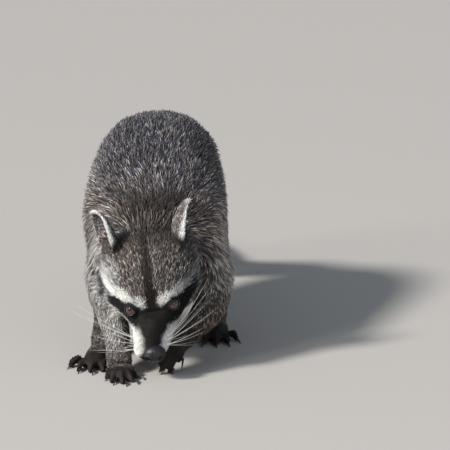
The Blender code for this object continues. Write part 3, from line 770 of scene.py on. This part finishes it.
def refined(skin):
    """Finer triangles where lids, lips and nostrils are shaped, and coarser ones where the coat
    is long."""
    into = HEAD.inverted()
    group = skin.vertex_groups.new(name="fine")
    places = numbers(skin.data.vertices, "co", 3)
    h = moved(places, into)
    head = ramp(h[:, 1], 0.155, 0.120) * ramp(h[:, 1], -0.02, -0.01) * (
        np.abs(h[:, 0]) < 0.085) * (np.abs(h[:, 2]) < 0.08)
    low = (places[:, 2] < 0.03) & (places[:, 1] < 0)
    fine = np.maximum(head, low) > 0.5
    for chosen, weight in ((~fine, 1.0), (fine, 0.08)):
        group.add(np.nonzero(chosen)[0].tolist(), weight, "REPLACE")
    thin = skin.modifiers.new("thin", "DECIMATE")
    thin.ratio = min(1.0, COARSE_TRIANGLES / (2 * len(skin.data.polygons)))
    thin.vertex_group = "fine"
    thin.vertex_group_factor = 1.0
    settle(skin)
    skin.vertex_groups.clear()
    bm = bmesh.new()
    bm.from_mesh(skin.data)
    for limit, eye_reach, lip_reach in ((0.0011, 0.0080, 0.0030), (0.00055, 0.0028, 0.0014)):
        corners = moved(np.array([v.co for v in bm.verts]), into)
        eyes = (np.abs(near_eyes(corners)) < eye_reach) & (near_eyes(corners, 1) < 0.020)
        lips = (np.abs(mouth_line(corners)) < lip_reach) & (corners[:, 1] < 0.055) & (
            corners[:, 1] > -0.01) & (np.abs(corners[:, 0]) < 0.035)
        wanted = eyes | lips
        cut = [e for e in bm.edges if wanted[e.verts[0].index] and wanted[e.verts[1].index]
               and e.calc_length() > limit]
        bmesh.ops.subdivide_edges(bm, edges=cut, cuts=1)
        bmesh.ops.triangulate(bm, faces=[f for f in bm.faces if len(f.verts) > 3])
        bm.verts.index_update()
    bm.to_mesh(skin.data)
    bm.free()
    return skin


def sculpted(skin):
    """Draws the skin in under the coat, and shapes the lids, the lips and the toes. Returns how
    far each vertex belongs to each region."""
    surface = Surface(skin.data)
    bare, spread = surface.points, surface.spread
    eased = lambda points, weight, rounds: points + weight * (spread(points, rounds) - points)
    regions = spread(nearest_regions(bare), 45)
    share = shares(regions)
    into = HEAD.inverted()
    thin = np.clip(sum(share[n] for n in ["ear_left", "ear_right", *PAWS]) * 1.3, 0, 1)
    face = share["head"] * ramp(moved(bare, into)[:, 1], 0.075, 0.055)
    medium = np.clip(1 - thin, 0, 1)[:, None]
    heavy = np.clip(1 - thin - face, 0, 1)[:, None]
    few = spread(bare, 3)
    points = eased(few, medium, 9)
    points = points + heavy * (spread(few, 45) - points)
    surface.points = points
    normals = unit(spread(surface.normals(), 8))
    depth = spread(coat_depth(points, regions, bone_places(points))[:, None], 10)[:, 0]
    sole = ramp(points[:, 2], 0.002, 0.007)
    depth = depth * np.where(normals[:, 2] < -0.5, sole, 1)
    points = points - normals * depth[:, None]
    points = eased(points, 0.7 * medium, 5)

    # the stop, an even hollow between the brows and the bridge of the nose
    h = moved(points, into)
    stop = (band(h[:, 1], 0.054, 0.014, 0.012) * ramp(np.abs(h[:, 0]), 0.0155, 0.0090)
            * ramp(h[:, 2], 0.006, 0.014) * share["head"])
    points = eased(points, stop[:, None], 60)

    # the lids: a thick upper one with a fold over it, and a thin lower one
    h = moved(points, into)
    for side in SIDES:
        centre = eye_axes(side)[0]
        edge, reach, u, v = from_lids(h, side)
        near = (np.hypot(u, v) < 2.0) & (reach < 0.030) & (h[:, 0] * side > 0)
        lid = EYE_RADIUS + LID + 0.0004 * ramp(v, -0.1, 0.4)
        lid = lid + 0.0011 * band(edge, 0.0042, 0.0012, 0.0024) * ramp(v, 0.0, 0.4)
        lid = lid - 0.0009 * band(edge, 0.0023, 0.0003, 0.0012) * ramp(v, -0.2, 0.3)
        lid = lid - 0.0006 * band(edge, 0.0032, 0.0003, 0.0012) * ramp(v, -0.1, -0.4)
        target = reach + ramp(edge, 0.0095, 0.0016) * (lid - reach)
        target = target + ramp(edge, 0.0001, -0.0005) * (EYE_RADIUS - 0.0022 - target)
        h = np.where(near[:, None], centre + unit(h - centre) * target[:, None], h)
    # whisker pads, full on both sides of the nose
    pad = np.linalg.norm((folded(h) - (0.0160, 0.0190, -0.0030)) / (0.010, 0.015, 0.0085), axis=1)
    h[:, 0] += np.sign(h[:, 0]) * 0.0030 * np.exp(-pad**2) * share["head"]
    # the closed mouth: a fold along each side, with the upper lip hanging over it
    x, y, z = h.T
    gape = mouth_line(h)
    along = ramp(y, 0.054, 0.044) * ramp(y, 0.000, 0.006) * share["head"]
    out = unit(np.column_stack([x, np.zeros_like(x), z * 0.3 - 0.002]))
    fold = (1 - ramp(np.abs(gape), 0.0003, 0.0015)) * along * (np.abs(x) > 0.002)
    lip = band(gape, 0.0024, 0.0012, 0.002) * along
    h = h - out * (fold * 0.0016)[:, None] + out * (lip * 0.0006)[:, None]
    points = from_head(h)
    points[:, 2] = np.maximum(points[:, 2], SKIN_FLOOR)
    skin.data.vertices.foreach_set("co", points.astype(np.float32).ravel())
    skin.data.update()
    skin.data.shade_smooth()
    return regions


def unwrapped(skin):
    """Lays the skin out flat in a map named OFBake."""
    skin.data.uv_layers.new(name="OFBake")
    bpy.context.view_layer.objects.active = skin
    skin.select_set(True)
    bpy.ops.object.mode_set(mode="EDIT")
    bpy.ops.mesh.select_all(action="SELECT")
    bpy.ops.uv.smart_project(angle_limit=math.radians(66), island_margin=0.0015)
    bpy.ops.object.mode_set(mode="OBJECT")
    skin.select_set(False)


# ---- the coat
def coat_density(points, regions):
    """Tufts to a square metre."""
    thick = {"trunk": 345_000, "neck": 365_000, "tail": 300_000,
             "head": 1_200_000 - 450_000 * ramp(to_head(points)[:, 1], 0.05, 0.12),
             "foreleg_left": 400_000, "foreleg_right": 430_000, "hindleg_left": 330_000,
             "hindleg_right": 330_000, "ear_left": 850_000, "ear_right": 850_000,
             **dict.fromkeys(PAWS, 700_000)}
    share = shares(regions)
    return sum(share[name] * value for name, value in thick.items())


class Roots:
    """Places on the skin from which tufts grow, spread evenly by density."""

    def __init__(self, surface, regions, uv):
        triangles = surface.triangles
        corners = surface.points[triangles]
        centres = corners.mean(axis=1)
        area = np.linalg.norm(np.cross(corners[:, 1] - corners[:, 0],
                                       corners[:, 2] - corners[:, 0]), axis=1) / 2
        share = regions[triangles].mean(axis=1)
        want = area * coat_density(centres, share) * furred(centres, share)
        cell = np.floor(centres / ROOT_CELL).astype(int)
        order = np.lexsort((cell[:, 0], cell[:, 1], cell[:, 2]))
        total = np.cumsum(want[order])
        count = int(total[-1])
        at = np.searchsorted(total, (np.arange(count) + RANDOM.random(count)) * total[-1] / count)
        face = order[np.minimum(at, len(order) - 1)]
        a, b = np.sqrt(RANDOM.random(count)), RANDOM.random(count)
        mix = np.column_stack([1 - a, a * (1 - b), a * b])
        blend = lambda rows: np.einsum("nk,nkd->nd", mix, rows)
        self.points = blend(corners[face])
        self.normals = unit(blend(surface.normals()[triangles[face]]))
        self.regions = blend(regions[triangles[face]])
        self.uv = blend(uv.reshape(-1, 3, 2)[face])
        self.owner = np.argmax(self.regions, axis=1)


def furred(points, regions):
    """0 where the skin is bare: lids, lips, nose, soles and the tips of the toes."""
    h = to_head(points)
    bare = ramp(near_eyes(h), 0.0020, 0.0010)
    bare = np.maximum(bare, ramp(np.abs(mouth_line(h)), 0.0016, 0.0010)
                      * ramp(h[:, 1], 0.052, 0.044))
    bare = np.maximum(bare, ramp(from_nose(h), 1.15, 1.02))
    share = shares(regions)
    for name, (paw, _) in PAWS.items():
        sole = ramp(moved(points, paw.inverted())[:, 2], 0.0070, 0.0040)
        ahead, reach = along_paw(points, name)
        toes = ramp(ahead, reach, reach + 0.010)
        bare = np.maximum(bare, share[name] * np.maximum(sole, toes))
    return 1 - bare


def from_nose(h):
    """How many times its own size each point is from the middle of the nose pad."""
    return np.linalg.norm((h - np.array(NOSE_PLACE)) / np.array(NOSE_PAD), axis=1)


# Kind of region: stretches of a tuft, half its width at the root, its lift at the root and at the
# tip in degrees, how far locks close up, how far the hair strays from its lie, and the slot.
FORM = {
    "trunk": (3, 0.00039, 40, 14, 0.20, 0.22, "grizzled_coat"),
    "neck": (3, 0.00039, 40, 14, 0.20, 0.22, "grizzled_coat"),
    "tail": (3, 0.00050, 40, 15, 0.35, 0.16, "ringed_coat"),
    "head": (2, 0.00033, 28, 12, 0.22, 0.13, "mask_coat"),
    "ear": (2, 0.00030, 26, 14, 0.20, 0.18, "ear_coat"),
    "foreleg": (2, 0.00046, 30, 10, 0.40, 0.16, "sooty_coat"),
    "hindleg": (2, 0.00050, 32, 12, 0.40, 0.16, "sooty_coat"),
    "forepaw": (2, 0.00032, 30, 11, 0.20, 0.24, "sooty_coat"),
    "hindpaw": (2, 0.00032, 30, 11, 0.20, 0.24, "sooty_coat"),
}
STATIONS = {2: np.array([0, 0.58, 1.0]), 3: np.array([0, 0.42, 0.78, 1.0])}   # along a tuft


def grow(roots):
    """The whole coat, as one piece or more to a region."""
    share = shares(roots.regions)
    bones = bone_places(roots.points)
    lie = hair_lie(roots.points, roots.normals, roots.regions, bones)
    length = hair_length(roots.points, roots.regions, bones)
    h = to_head(roots.points)
    ragged = 0.0006 + 0.0010 * share["head"] + 0.0030 * (share["trunk"] + share["neck"])
    jitter = ragged[:, None] * RANDOM.normal(size=roots.points.shape)
    colour = markings(roots.points + jitter, roots.regions, bones)
    swirl = waves(roots.points, 0.050, 11) * 0.8 + waves(roots.points, 0.016, 12) * 0.45
    made = []
    for column, name in enumerate(REGIONS):
        steps, half, low, high, clump, stray, slot = FORM[name.split("_")[0]]
        stations = STATIONS[steps]
        own = np.nonzero(roots.owner == column)[0]
        count = len(own)
        spot, normal = roots.points[own], roots.normals[own]
        way = lie[own] + 0.5 * stray * RANDOM.normal(size=(count, 3))
        way = flat_on(normal, way + np.cross(normal, way) * (swirl[own] * stray * 1.1)[:, None])
        across = np.cross(normal, way)
        size = length[own] * RANDOM.uniform(0.75, 1.15, count)
        lift = np.radians(low) * RANDOM.uniform(0.75, 1.2, count)
        fall = np.radians(high) * RANDOM.uniform(0.3, 1.6, count)
        if name == "head":
            x, y, z = h[own].T
            cheek = ramp(np.abs(x), 0.030, 0.050) * ramp(z, 0.020, 0.0) * ramp(y, 0.055, 0.085)
            fall = fall + 0.20 * cheek
            lift = lift + 0.15 * cheek
        sway = RANDOM.normal(size=count) * 0.16
        path = [spot - normal * HAIR_ROOT]
        for last, t in zip(stations, stations[1:]):
            angle = lift + (fall - lift) * (last + t) / 2
            step = (way * np.cos(angle)[:, None] + normal * np.sin(angle)[:, None]
                    + across * (sway * t)[:, None])
            path.append(path[-1] + step * (size * (t - last))[:, None])
        path = np.stack(path, axis=1)
        # locks: the tips of neighbours lean together
        lock = nearest_of(spot[::LOCK], spot)
        pull = path[lock * LOCK, -1] - path[:, -1]
        pull = pull * clump * RANDOM.uniform(0.6, 1.1, (count, 1))
        path = path + pull[:, None, :] * (stations**1.6)[None, :, None]
        path[:, :, 2] = np.maximum(path[:, :, 2], COAT_FLOOR)
        pale = RANDOM.random(count) < PALE_SHARE
        thick = half * RANDOM.uniform(0.7, 1.25, count) * (0.55 + 0.45 * np.clip(
            size / np.median(size), 0.4, 1.4)) * np.where(pale, 1.35, 0.92)
        shade = strands(colour[own], stations, RANDOM.normal(size=lock.max() + 1)[lock], pale)
        parts = max(1, math.ceil(count / (PIECE_TRIANGLES // (6 * (steps - 1) + 4))))
        rank = np.argsort(np.argsort(spot[:, 1]))
        for k in range(parts):
            chosen = np.nonzero(rank * parts // count == k)[0]
            label = f"coat_{name}" + (f"_{k + 1}" if parts > 1 else "")
            made.append(tuft_mesh(label, path[chosen], across[chosen], normal[chosen],
                                  thick[chosen], shade[chosen], roots.uv[own[chosen]]))
    return made


def nearest_of(places, points):
    """Which of places is nearest to each point."""
    tree = KDTree(len(places))
    for i, place in enumerate(places):
        tree.insert(Vector(place), i)
    tree.balance()
    return np.array([tree.find(Vector(point))[1] for point in points])


def strands(colour, stations, lock, pale):
    """The colour along each tuft. The grizzled coat has dark tufts and pale-tipped ones; black
    or white hair is nearly even."""
    light = colour @ np.array([0.25, 0.6, 0.15])
    mottled = (ramp(light, 0.035, 0.10) * ramp(light, 0.62, 0.34))[:, None]
    black = ramp(light, 0.06, 0.02)[:, None]
    whole = np.exp(RANDOM.normal(size=(len(colour), 1)) * (0.10 + 0.30 * mottled + 0.30 * black)
                   + lock[:, None] * (0.10 + 0.14 * mottled) - 0.06 * mottled)
    rows = []
    for t in stations:
        dark = np.interp(t, (0, 0.35, 0.7, 1), (0.40, 0.70, 0.75, 0.35))
        tip = np.interp(t, (0, 0.42, 0.60, 0.78, 1), (0.35, 0.38, 1.10, 1.90, 4.20))
        # the dark kind is tinted blue: painted skylight in the coat's shade
        banded = np.where(pale[:, None], tip * np.array([1.07, 1.00, 0.91]),
                          dark * np.array([0.91, 0.97, 1.12]))
        even = np.interp(t, (0, 0.5, 1), (0.50, 0.90, 1.08))
        rows.append(colour * whole * (even + mottled * (banded - even)))
    return np.clip(np.stack(rows, axis=1), 0.003, 0.92)


def tuft_mesh(name, path, across, normal, half, shade, uv):
    """Thin three-sided blades along the paths, each tapering to a point."""
    count, stations = path.shape[:2]
    steps = stations - 1
    each = 3 * steps + 1
    swell = {2: (0.85, 1.0), 3: (0.80, 1.0, 0.80)}[steps]
    body = [path[:, i] + (across * side + normal * high) * (half * swell[i])[:, None]
            for i in range(steps) for side, high in ((-1.0, -0.25), (1.0, -0.25), (0.0, 0.45))]
    points = np.stack([*body, path[:, steps]], axis=1)
    faces = [(2, 1, 0)]
    for i in range(steps - 1):
        for k in range(3):
            a, b = 3 * i + k, 3 * i + (k + 1) % 3
            faces += [(a, b, b + 3), (a, b + 3, a + 3)]
    last = 3 * (steps - 1)
    faces += [(last + k, last + (k + 1) % 3, each - 1) for k in range(3)]
    corners = (np.arange(count)[:, None, None] * each + np.array(faces)[None]).reshape(-1)
    mesh = bpy.data.meshes.new(name)
    mesh.vertices.add(count * each)
    mesh.vertices.foreach_set("co", points.astype(np.float32).ravel())
    mesh.loops.add(len(corners))
    mesh.loops.foreach_set("vertex_index", corners.astype(np.int32))
    mesh.polygons.add(len(corners) // 3)
    mesh.polygons.foreach_set("loop_start", np.arange(0, len(corners), 3, dtype=np.int32))
    mesh.update(calc_edges=True)
    mesh.shade_smooth()
    station = np.arange(each) // 3
    set_tint(mesh, shade[:, station].reshape(-1, 3))
    place = np.column_stack([np.tile((0, 1, 0.5), stations)[:each], station / steps])
    place[-1, 0] = 0.5
    patch = np.clip(uv[:, None] + (place - 0.5)[None] * UV_PATCH, 0, 1).reshape(-1, 2)[corners]
    mesh.uv_layers.new(name="OFBake")
    mesh.uv_layers["OFBake"].data.foreach_set("uv", patch.astype(np.float32).ravel())
    return linked(name, mesh, coat_material)


# ---- eyes, nose, claws, whiskers
def set_in_head(bm):
    """Moves points given in the head's frame to their places."""
    for vertex, place in zip(bm.verts, from_head([v.co for v in bm.verts])):
        vertex.co = place


DEEP, LIMBUS, IRIS, NOSE = np.array([(0.004, 0.003, 0.003), (0.010, 0.006, 0.005),
                                     (0.085, 0.032, 0.022), (0.012, 0.0115, 0.0145)])


def add_eye(side, name):
    """An eyeball with its clear bulge, iris and pupil."""
    centre, aim, corners, brow = eye_axes(side)
    gaze = unit((aim + 0.20 * brow - 0.10 * corners)[None])[0]
    bm = bmesh.new()
    bmesh.ops.create_uvsphere(bm, u_segments=72, v_segments=48, radius=EYE_RADIUS)
    turn = Vector(gaze).to_track_quat("Z", "Y").to_matrix().to_4x4()
    for vertex in bm.verts:
        angle = math.atan2(math.hypot(vertex.co.x, vertex.co.y), vertex.co.z)
        vertex.co *= 1 + 0.055 * (1 - min(1, angle / 0.80) ** 2) ** 2
    bmesh.ops.transform(bm, matrix=HEAD @ Matrix.Translation(centre) @ turn, verts=bm.verts)
    eye = object_from(bm, name, eye_material)
    out = unit(to_head(numbers(eye.data.vertices, "co", 3)) - centre)
    angle = np.arccos(np.clip(out @ gaze, -1, 1))
    spokes = np.sin(np.arctan2(out @ corners, out @ brow) * 19)
    iris = IRIS * (0.75 + 0.45 * ramp(angle, 0.30, 0.62) + 0.12 * spokes)[:, None]
    iris = lay(DEEP, iris, ramp(angle, 0.315, 0.275))
    set_tint(eye.data, lay(LIMBUS, iris, ramp(angle, 0.640, 0.740)))
    return eye


def add_lid_rim(side, name):
    """The wet dark edge of the lids, a thin ring on the eyeball round the opening."""
    centre, aim, corners, brow = eye_axes(side)
    ring = []
    for half, shift, high in ((1, UPPER_SHIFT, UPPER), (-1, LOWER_SHIFT, LOWER)):
        span = math.asin(min(1, HALF_WIDE / (shift + high)))
        for k in range(20):
            a = half * (span - 2 * span * k / 20)
            u = (shift + high) * math.sin(a)
            v = half * ((shift + high) * math.cos(a) - shift)
            angle = math.hypot(u, v)
            way = aim * math.cos(angle) + (corners * u + brow * v) * math.sin(angle) / angle
            ring.append(Vector(centre + way * (EYE_RADIUS + EDGE_RISE)))
    bm = bmesh.new()
    loops = []
    for i, point in enumerate(ring):
        ahead = (ring[(i + 1) % len(ring)] - ring[i - 1]).normalized()
        out = (point - Vector(centre)).normalized()
        across = ahead.cross(out)
        turns = [math.tau * k / 6 for k in range(6)]
        loops.append([bm.verts.new(HEAD @ (point + LID_EDGE * (out * math.cos(turn)
                                                               + across * math.sin(turn))))
                      for turn in turns])
    join_rings(bm, loops + loops[:1])
    bmesh.ops.recalc_face_normals(bm, faces=bm.faces)
    rim = object_from(bm, name, lid_material)
    return rim


def add_nose():
    """The nose pad, with its nostrils and the groove down its middle."""
    nostril = Vector((0.60, -0.77, 0.17)).normalized()
    slit = Vector((0.96, -0.26, 0.00)).normalized() - nostril
    bm = bmesh.new()
    bmesh.ops.create_uvsphere(bm, u_segments=112, v_segments=80, radius=1.0)
    for vertex in bm.verts:
        d = vertex.co.normalized()
        # nostrils, each a round opening with a slit that runs out and back from it
        spot = Vector((abs(d.x), d.y, d.z))
        gap = spot.angle(nostril)
        t = max(0.0, min(1.0, (spot - nostril).dot(slit) / slit.length_squared))
        trail = spot.angle((nostril + slit * t).normalized())
        hole = max(0.0, 1 - (gap / 0.30) ** 2)
        cut = max(0.0, 1 - (trail / (0.15 - 0.07 * t)) ** 2)
        wing = math.exp(-((gap - 0.42) / 0.13) ** 2) * (1 if d.z > -0.5 else 0.4)
        groove = math.exp(-(d.x / 0.055) ** 2) * max(0.0, min(1.0, (-d.y - 0.15) * 2.5))
        size = 1.06 + 0.055 * wing - 0.40 * hole**0.7 - 0.16 * cut**0.7 * (1 - hole)
        size -= 0.065 * groove
        flat = 1.0 - 0.05 * max(0, -d.y) ** 3
        vertex.co = Vector((d.x * NOSE_PAD.x * size, d.y * NOSE_PAD.y * size * flat,
                            d.z * NOSE_PAD.z * size))
    turn = Matrix.Rotation(math.radians(-12), 4, "X")
    bmesh.ops.transform(bm, matrix=Matrix.Translation(NOSE_PLACE) @ turn, verts=bm.verts)
    set_in_head(bm)
    nose = object_from(bm, "nose_pad", nose_material)
    h = to_head(numbers(nose.data.vertices, "co", 3))
    # the nostrils' hollows are painted near black: painted shade inside them
    set_tint(nose.data, lay(DEEP, NOSE, ramp(from_nose(h), 0.90, 0.70)))
    return nose


def add_claws(name):
    """The five claws of a paw, curved and pointed."""
    paw, digits = PAWS[name]
    bm = bmesh.new()
    for angle, start, length in digits:
        out, root = digit_line(angle, start)
        tip = root + Vector((0, 0, DIGIT_FLOOR[name] + CLAW_RISE)) + out * length
        rows = []
        for k in range(9):
            t = k / 8
            reach = (CLAW_LENGTH + 0.0015) * t - CLAW_INSIDE
            arch = 0.0012 * math.sin(math.pi * t) - 0.0036 * t * t
            rows.append((paw @ (tip + out * reach + Vector((0, 0, arch))),
                         CLAW_RADIUS * (1.06 - t) ** 0.62))
        add_tube(bm, rows, 10, 1.15, up=paw.to_3x3() @ UP)
    for vertex in bm.verts:
        vertex.co.z = max(vertex.co.z, CLAW_FLOOR)
    return object_from(bm, "claws_" + name, claw_material)


def add_whisker(bm, root, way, bend, radius, steps):
    """A tapering hair from root that runs along way and is bent by bend at its tip."""
    add_tube(bm, [(root + way * t + bend * t * t, radius * (1.08 - t) ** 0.8)
                  for t in np.linspace(0, 1, steps + 1).tolist()], 4)


def add_whiskers():
    """Four rows beside the nose, and a few hairs over each eye."""
    bm = bmesh.new()
    random = np.random.default_rng(31)
    for side in SIDES:
        for row in range(4):
            for k in range(3 if row < 3 else 2):
                root = Vector((side * (0.0150 + 0.0012 * k), 0.0145 + 0.0052 * k + 0.001 * row,
                               0.0012 - 0.0030 * row))
                fan = 0.15 - 0.42 * row + 0.10 * random.normal()
                swept = 0.15 + 0.34 * k if side > 0 else 0.05 + 0.20 * k
                way = Vector((side * 1.0, swept + 0.10 * random.normal(),
                              fan + 0.22 * k)).normalized()
                droop = Vector((0, 0.30, -0.22 + 0.10 * random.normal()))
                length = 0.042 + 0.010 * k + 0.010 * random.random()
                length *= 1.05 if side > 0 else 1.25
                add_whisker(bm, root, way * length, droop * length * 0.55, WHISKER, 8)
        for k in range(3):
            root = Vector((side * (0.0150 + 0.0045 * k), 0.0600 + 0.0030 * k, 0.0290))
            way = Vector((side * (0.35 + 0.3 * k), 0.55, 0.9)).normalized()
            add_whisker(bm, root, way * 0.030, Vector((0, 0.0090, -0.0030)), BROW_HAIR, 6)
    set_in_head(bm)
    for vertex in bm.verts:
        vertex.co.z = max(vertex.co.z, WHISKER_FLOOR)
    return object_from(bm, "whiskers", whisker_material)


# ---- materials
def put(node, values):
    """Sets constants on a node's own sockets."""
    for socket, value in values.items():
        node.inputs[socket].default_value = value


def new_material(name, roughness, specular, colour=None, bump=None):
    """A Principled material: of one colour, or of the Tint stored on the mesh."""
    material = bpy.data.materials.new(name)
    material.use_nodes = True
    nodes, links = material.node_tree.nodes, material.node_tree.links
    shader = nodes["Principled BSDF"]
    put(shader, {"Roughness": roughness, "Specular IOR Level": specular})
    if colour:
        put(shader, {"Base Color": (*colour, 1)})
    else:
        attribute = nodes.new("ShaderNodeAttribute")
        attribute.attribute_name = "Tint"
        links.new(attribute.outputs["Color"], shader.inputs["Base Color"])
    if bump:
        scale, strength, distance = bump
        place = nodes.new("ShaderNodeTexCoord")
        noise = nodes.new("ShaderNodeTexNoise")
        put(noise, {"Scale": scale, "Detail": 3})
        ridge = nodes.new("ShaderNodeBump")
        put(ridge, {"Strength": strength, "Distance": distance})
        links.new(place.outputs["Object"], noise.inputs["Vector"])
        links.new(noise.outputs["Fac"], ridge.inputs["Height"])
        links.new(ridge.outputs["Normal"], shader.inputs["Normal"])
    return material


coat_material = new_material("coat", 0.62, 0.15)
skin_material = new_material("skin", 0.70, 0.18, bump=(900, 0.5, 0.0006))
eye_material = new_material("eye", 0.05, 0.85)
lid_material = new_material("lid", 0.25, 0.5, (0.014, 0.012, 0.013))
nose_material = new_material("nose", 0.42, 0.36, bump=(1500, 0.45, 0.0004))
claw_material = new_material("claw", 0.32, 0.5, (0.030, 0.024, 0.021))
whisker_material = new_material("whisker", 0.40, 0.5, (0.80, 0.79, 0.76))

# ---- making the animal
skin = refined(melted_flesh())
regions = sculpted(skin)
unwrapped(skin)
surface = Surface(skin.data)
uv = numbers(skin.data.uv_layers["OFBake"].data, "uv", 2)
set_tint(skin.data, markings(surface.points, regions, bone_places(surface.points)) * SKIN_SHADE)
skin.data.materials.clear()
skin.data.materials.append(skin_material)
flesh = [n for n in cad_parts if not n.startswith(("eye", "nose"))]
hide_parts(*flesh)

coat = grow(Roots(surface, regions, uv))
eyes = [add_eye(1, "eyeball_left"), add_eye(-1, "eyeball_right")]
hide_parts("eye_left")
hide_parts("eye_right")
rims = [add_lid_rim(1, "lid_edge_left"), add_lid_rim(-1, "lid_edge_right")]
nose_pad = add_nose()
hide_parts("nose")
claws = [add_claws(name) for name in PAWS]
whiskers = add_whiskers()
for piece in [skin, *coat, *eyes, *rims, nose_pad, *claws, whiskers]:
    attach(piece, "root")

# ---- floor, lights and camera
bpy.ops.mesh.primitive_plane_add(size=14, location=(0, 0, 0))
floor = bpy.context.object
floor.name = "floor"
floor.data.materials.append(new_material("floor", 0.9, 0.1, (0.42, 0.40, 0.38)))

world = bpy.data.worlds.new("sky")
bpy.context.scene.world = world
world.use_nodes = True
put(world.node_tree.nodes["Background"], {"Color": (0.78, 0.88, 1.0, 1), "Strength": 0.38})


def pointed(name, data, place, way):
    """A light or camera at place, looking along way."""
    obj = linked(name, data)
    obj.location = place
    obj.rotation_euler = way.to_track_quat("-Z", "Y").to_euler()
    return obj


def add_light(name, kind, place, aim, **values):
    data = bpy.data.lights.new(name, kind)
    for key, value in values.items():
        setattr(data, key, value)
    pointed(name, data, place, Vector(aim) - Vector(place))


add_light("key", "SUN", (-2.4, -1.35, 2.1), (0, -0.05, 0.1), energy=4.9,
          angle=math.radians(9), color=(1.0, 0.97, 0.93))
add_light("fill", "AREA", (1.3, -2.3, 0.75), (0.02, -0.2, 0.07), energy=8.0, size=1.2,
          color=(0.92, 0.96, 1.0))
add_light("catchlight", "AREA", (-1.9, -2.0, 1.45), (0, -0.3, 0.09), energy=22, size=0.45,
          color=(1.0, 0.98, 0.95))

target = RAW + Vector((0.0793, -0.0146, 0.1930))
back = Vector((0, -math.cos(CAMERA_ELEVATION), math.sin(CAMERA_ELEVATION)))
camera_data = bpy.data.cameras.new("camera")
camera_data.sensor_width = 36
camera_data.lens = camera_data.sensor_width * CAMERA_DISTANCE / VIEW_WIDTH
bpy.context.scene.camera = pointed("camera", camera_data, target + back * CAMERA_DISTANCE, -back)
bpy.context.scene.view_settings.view_transform = "Standard"
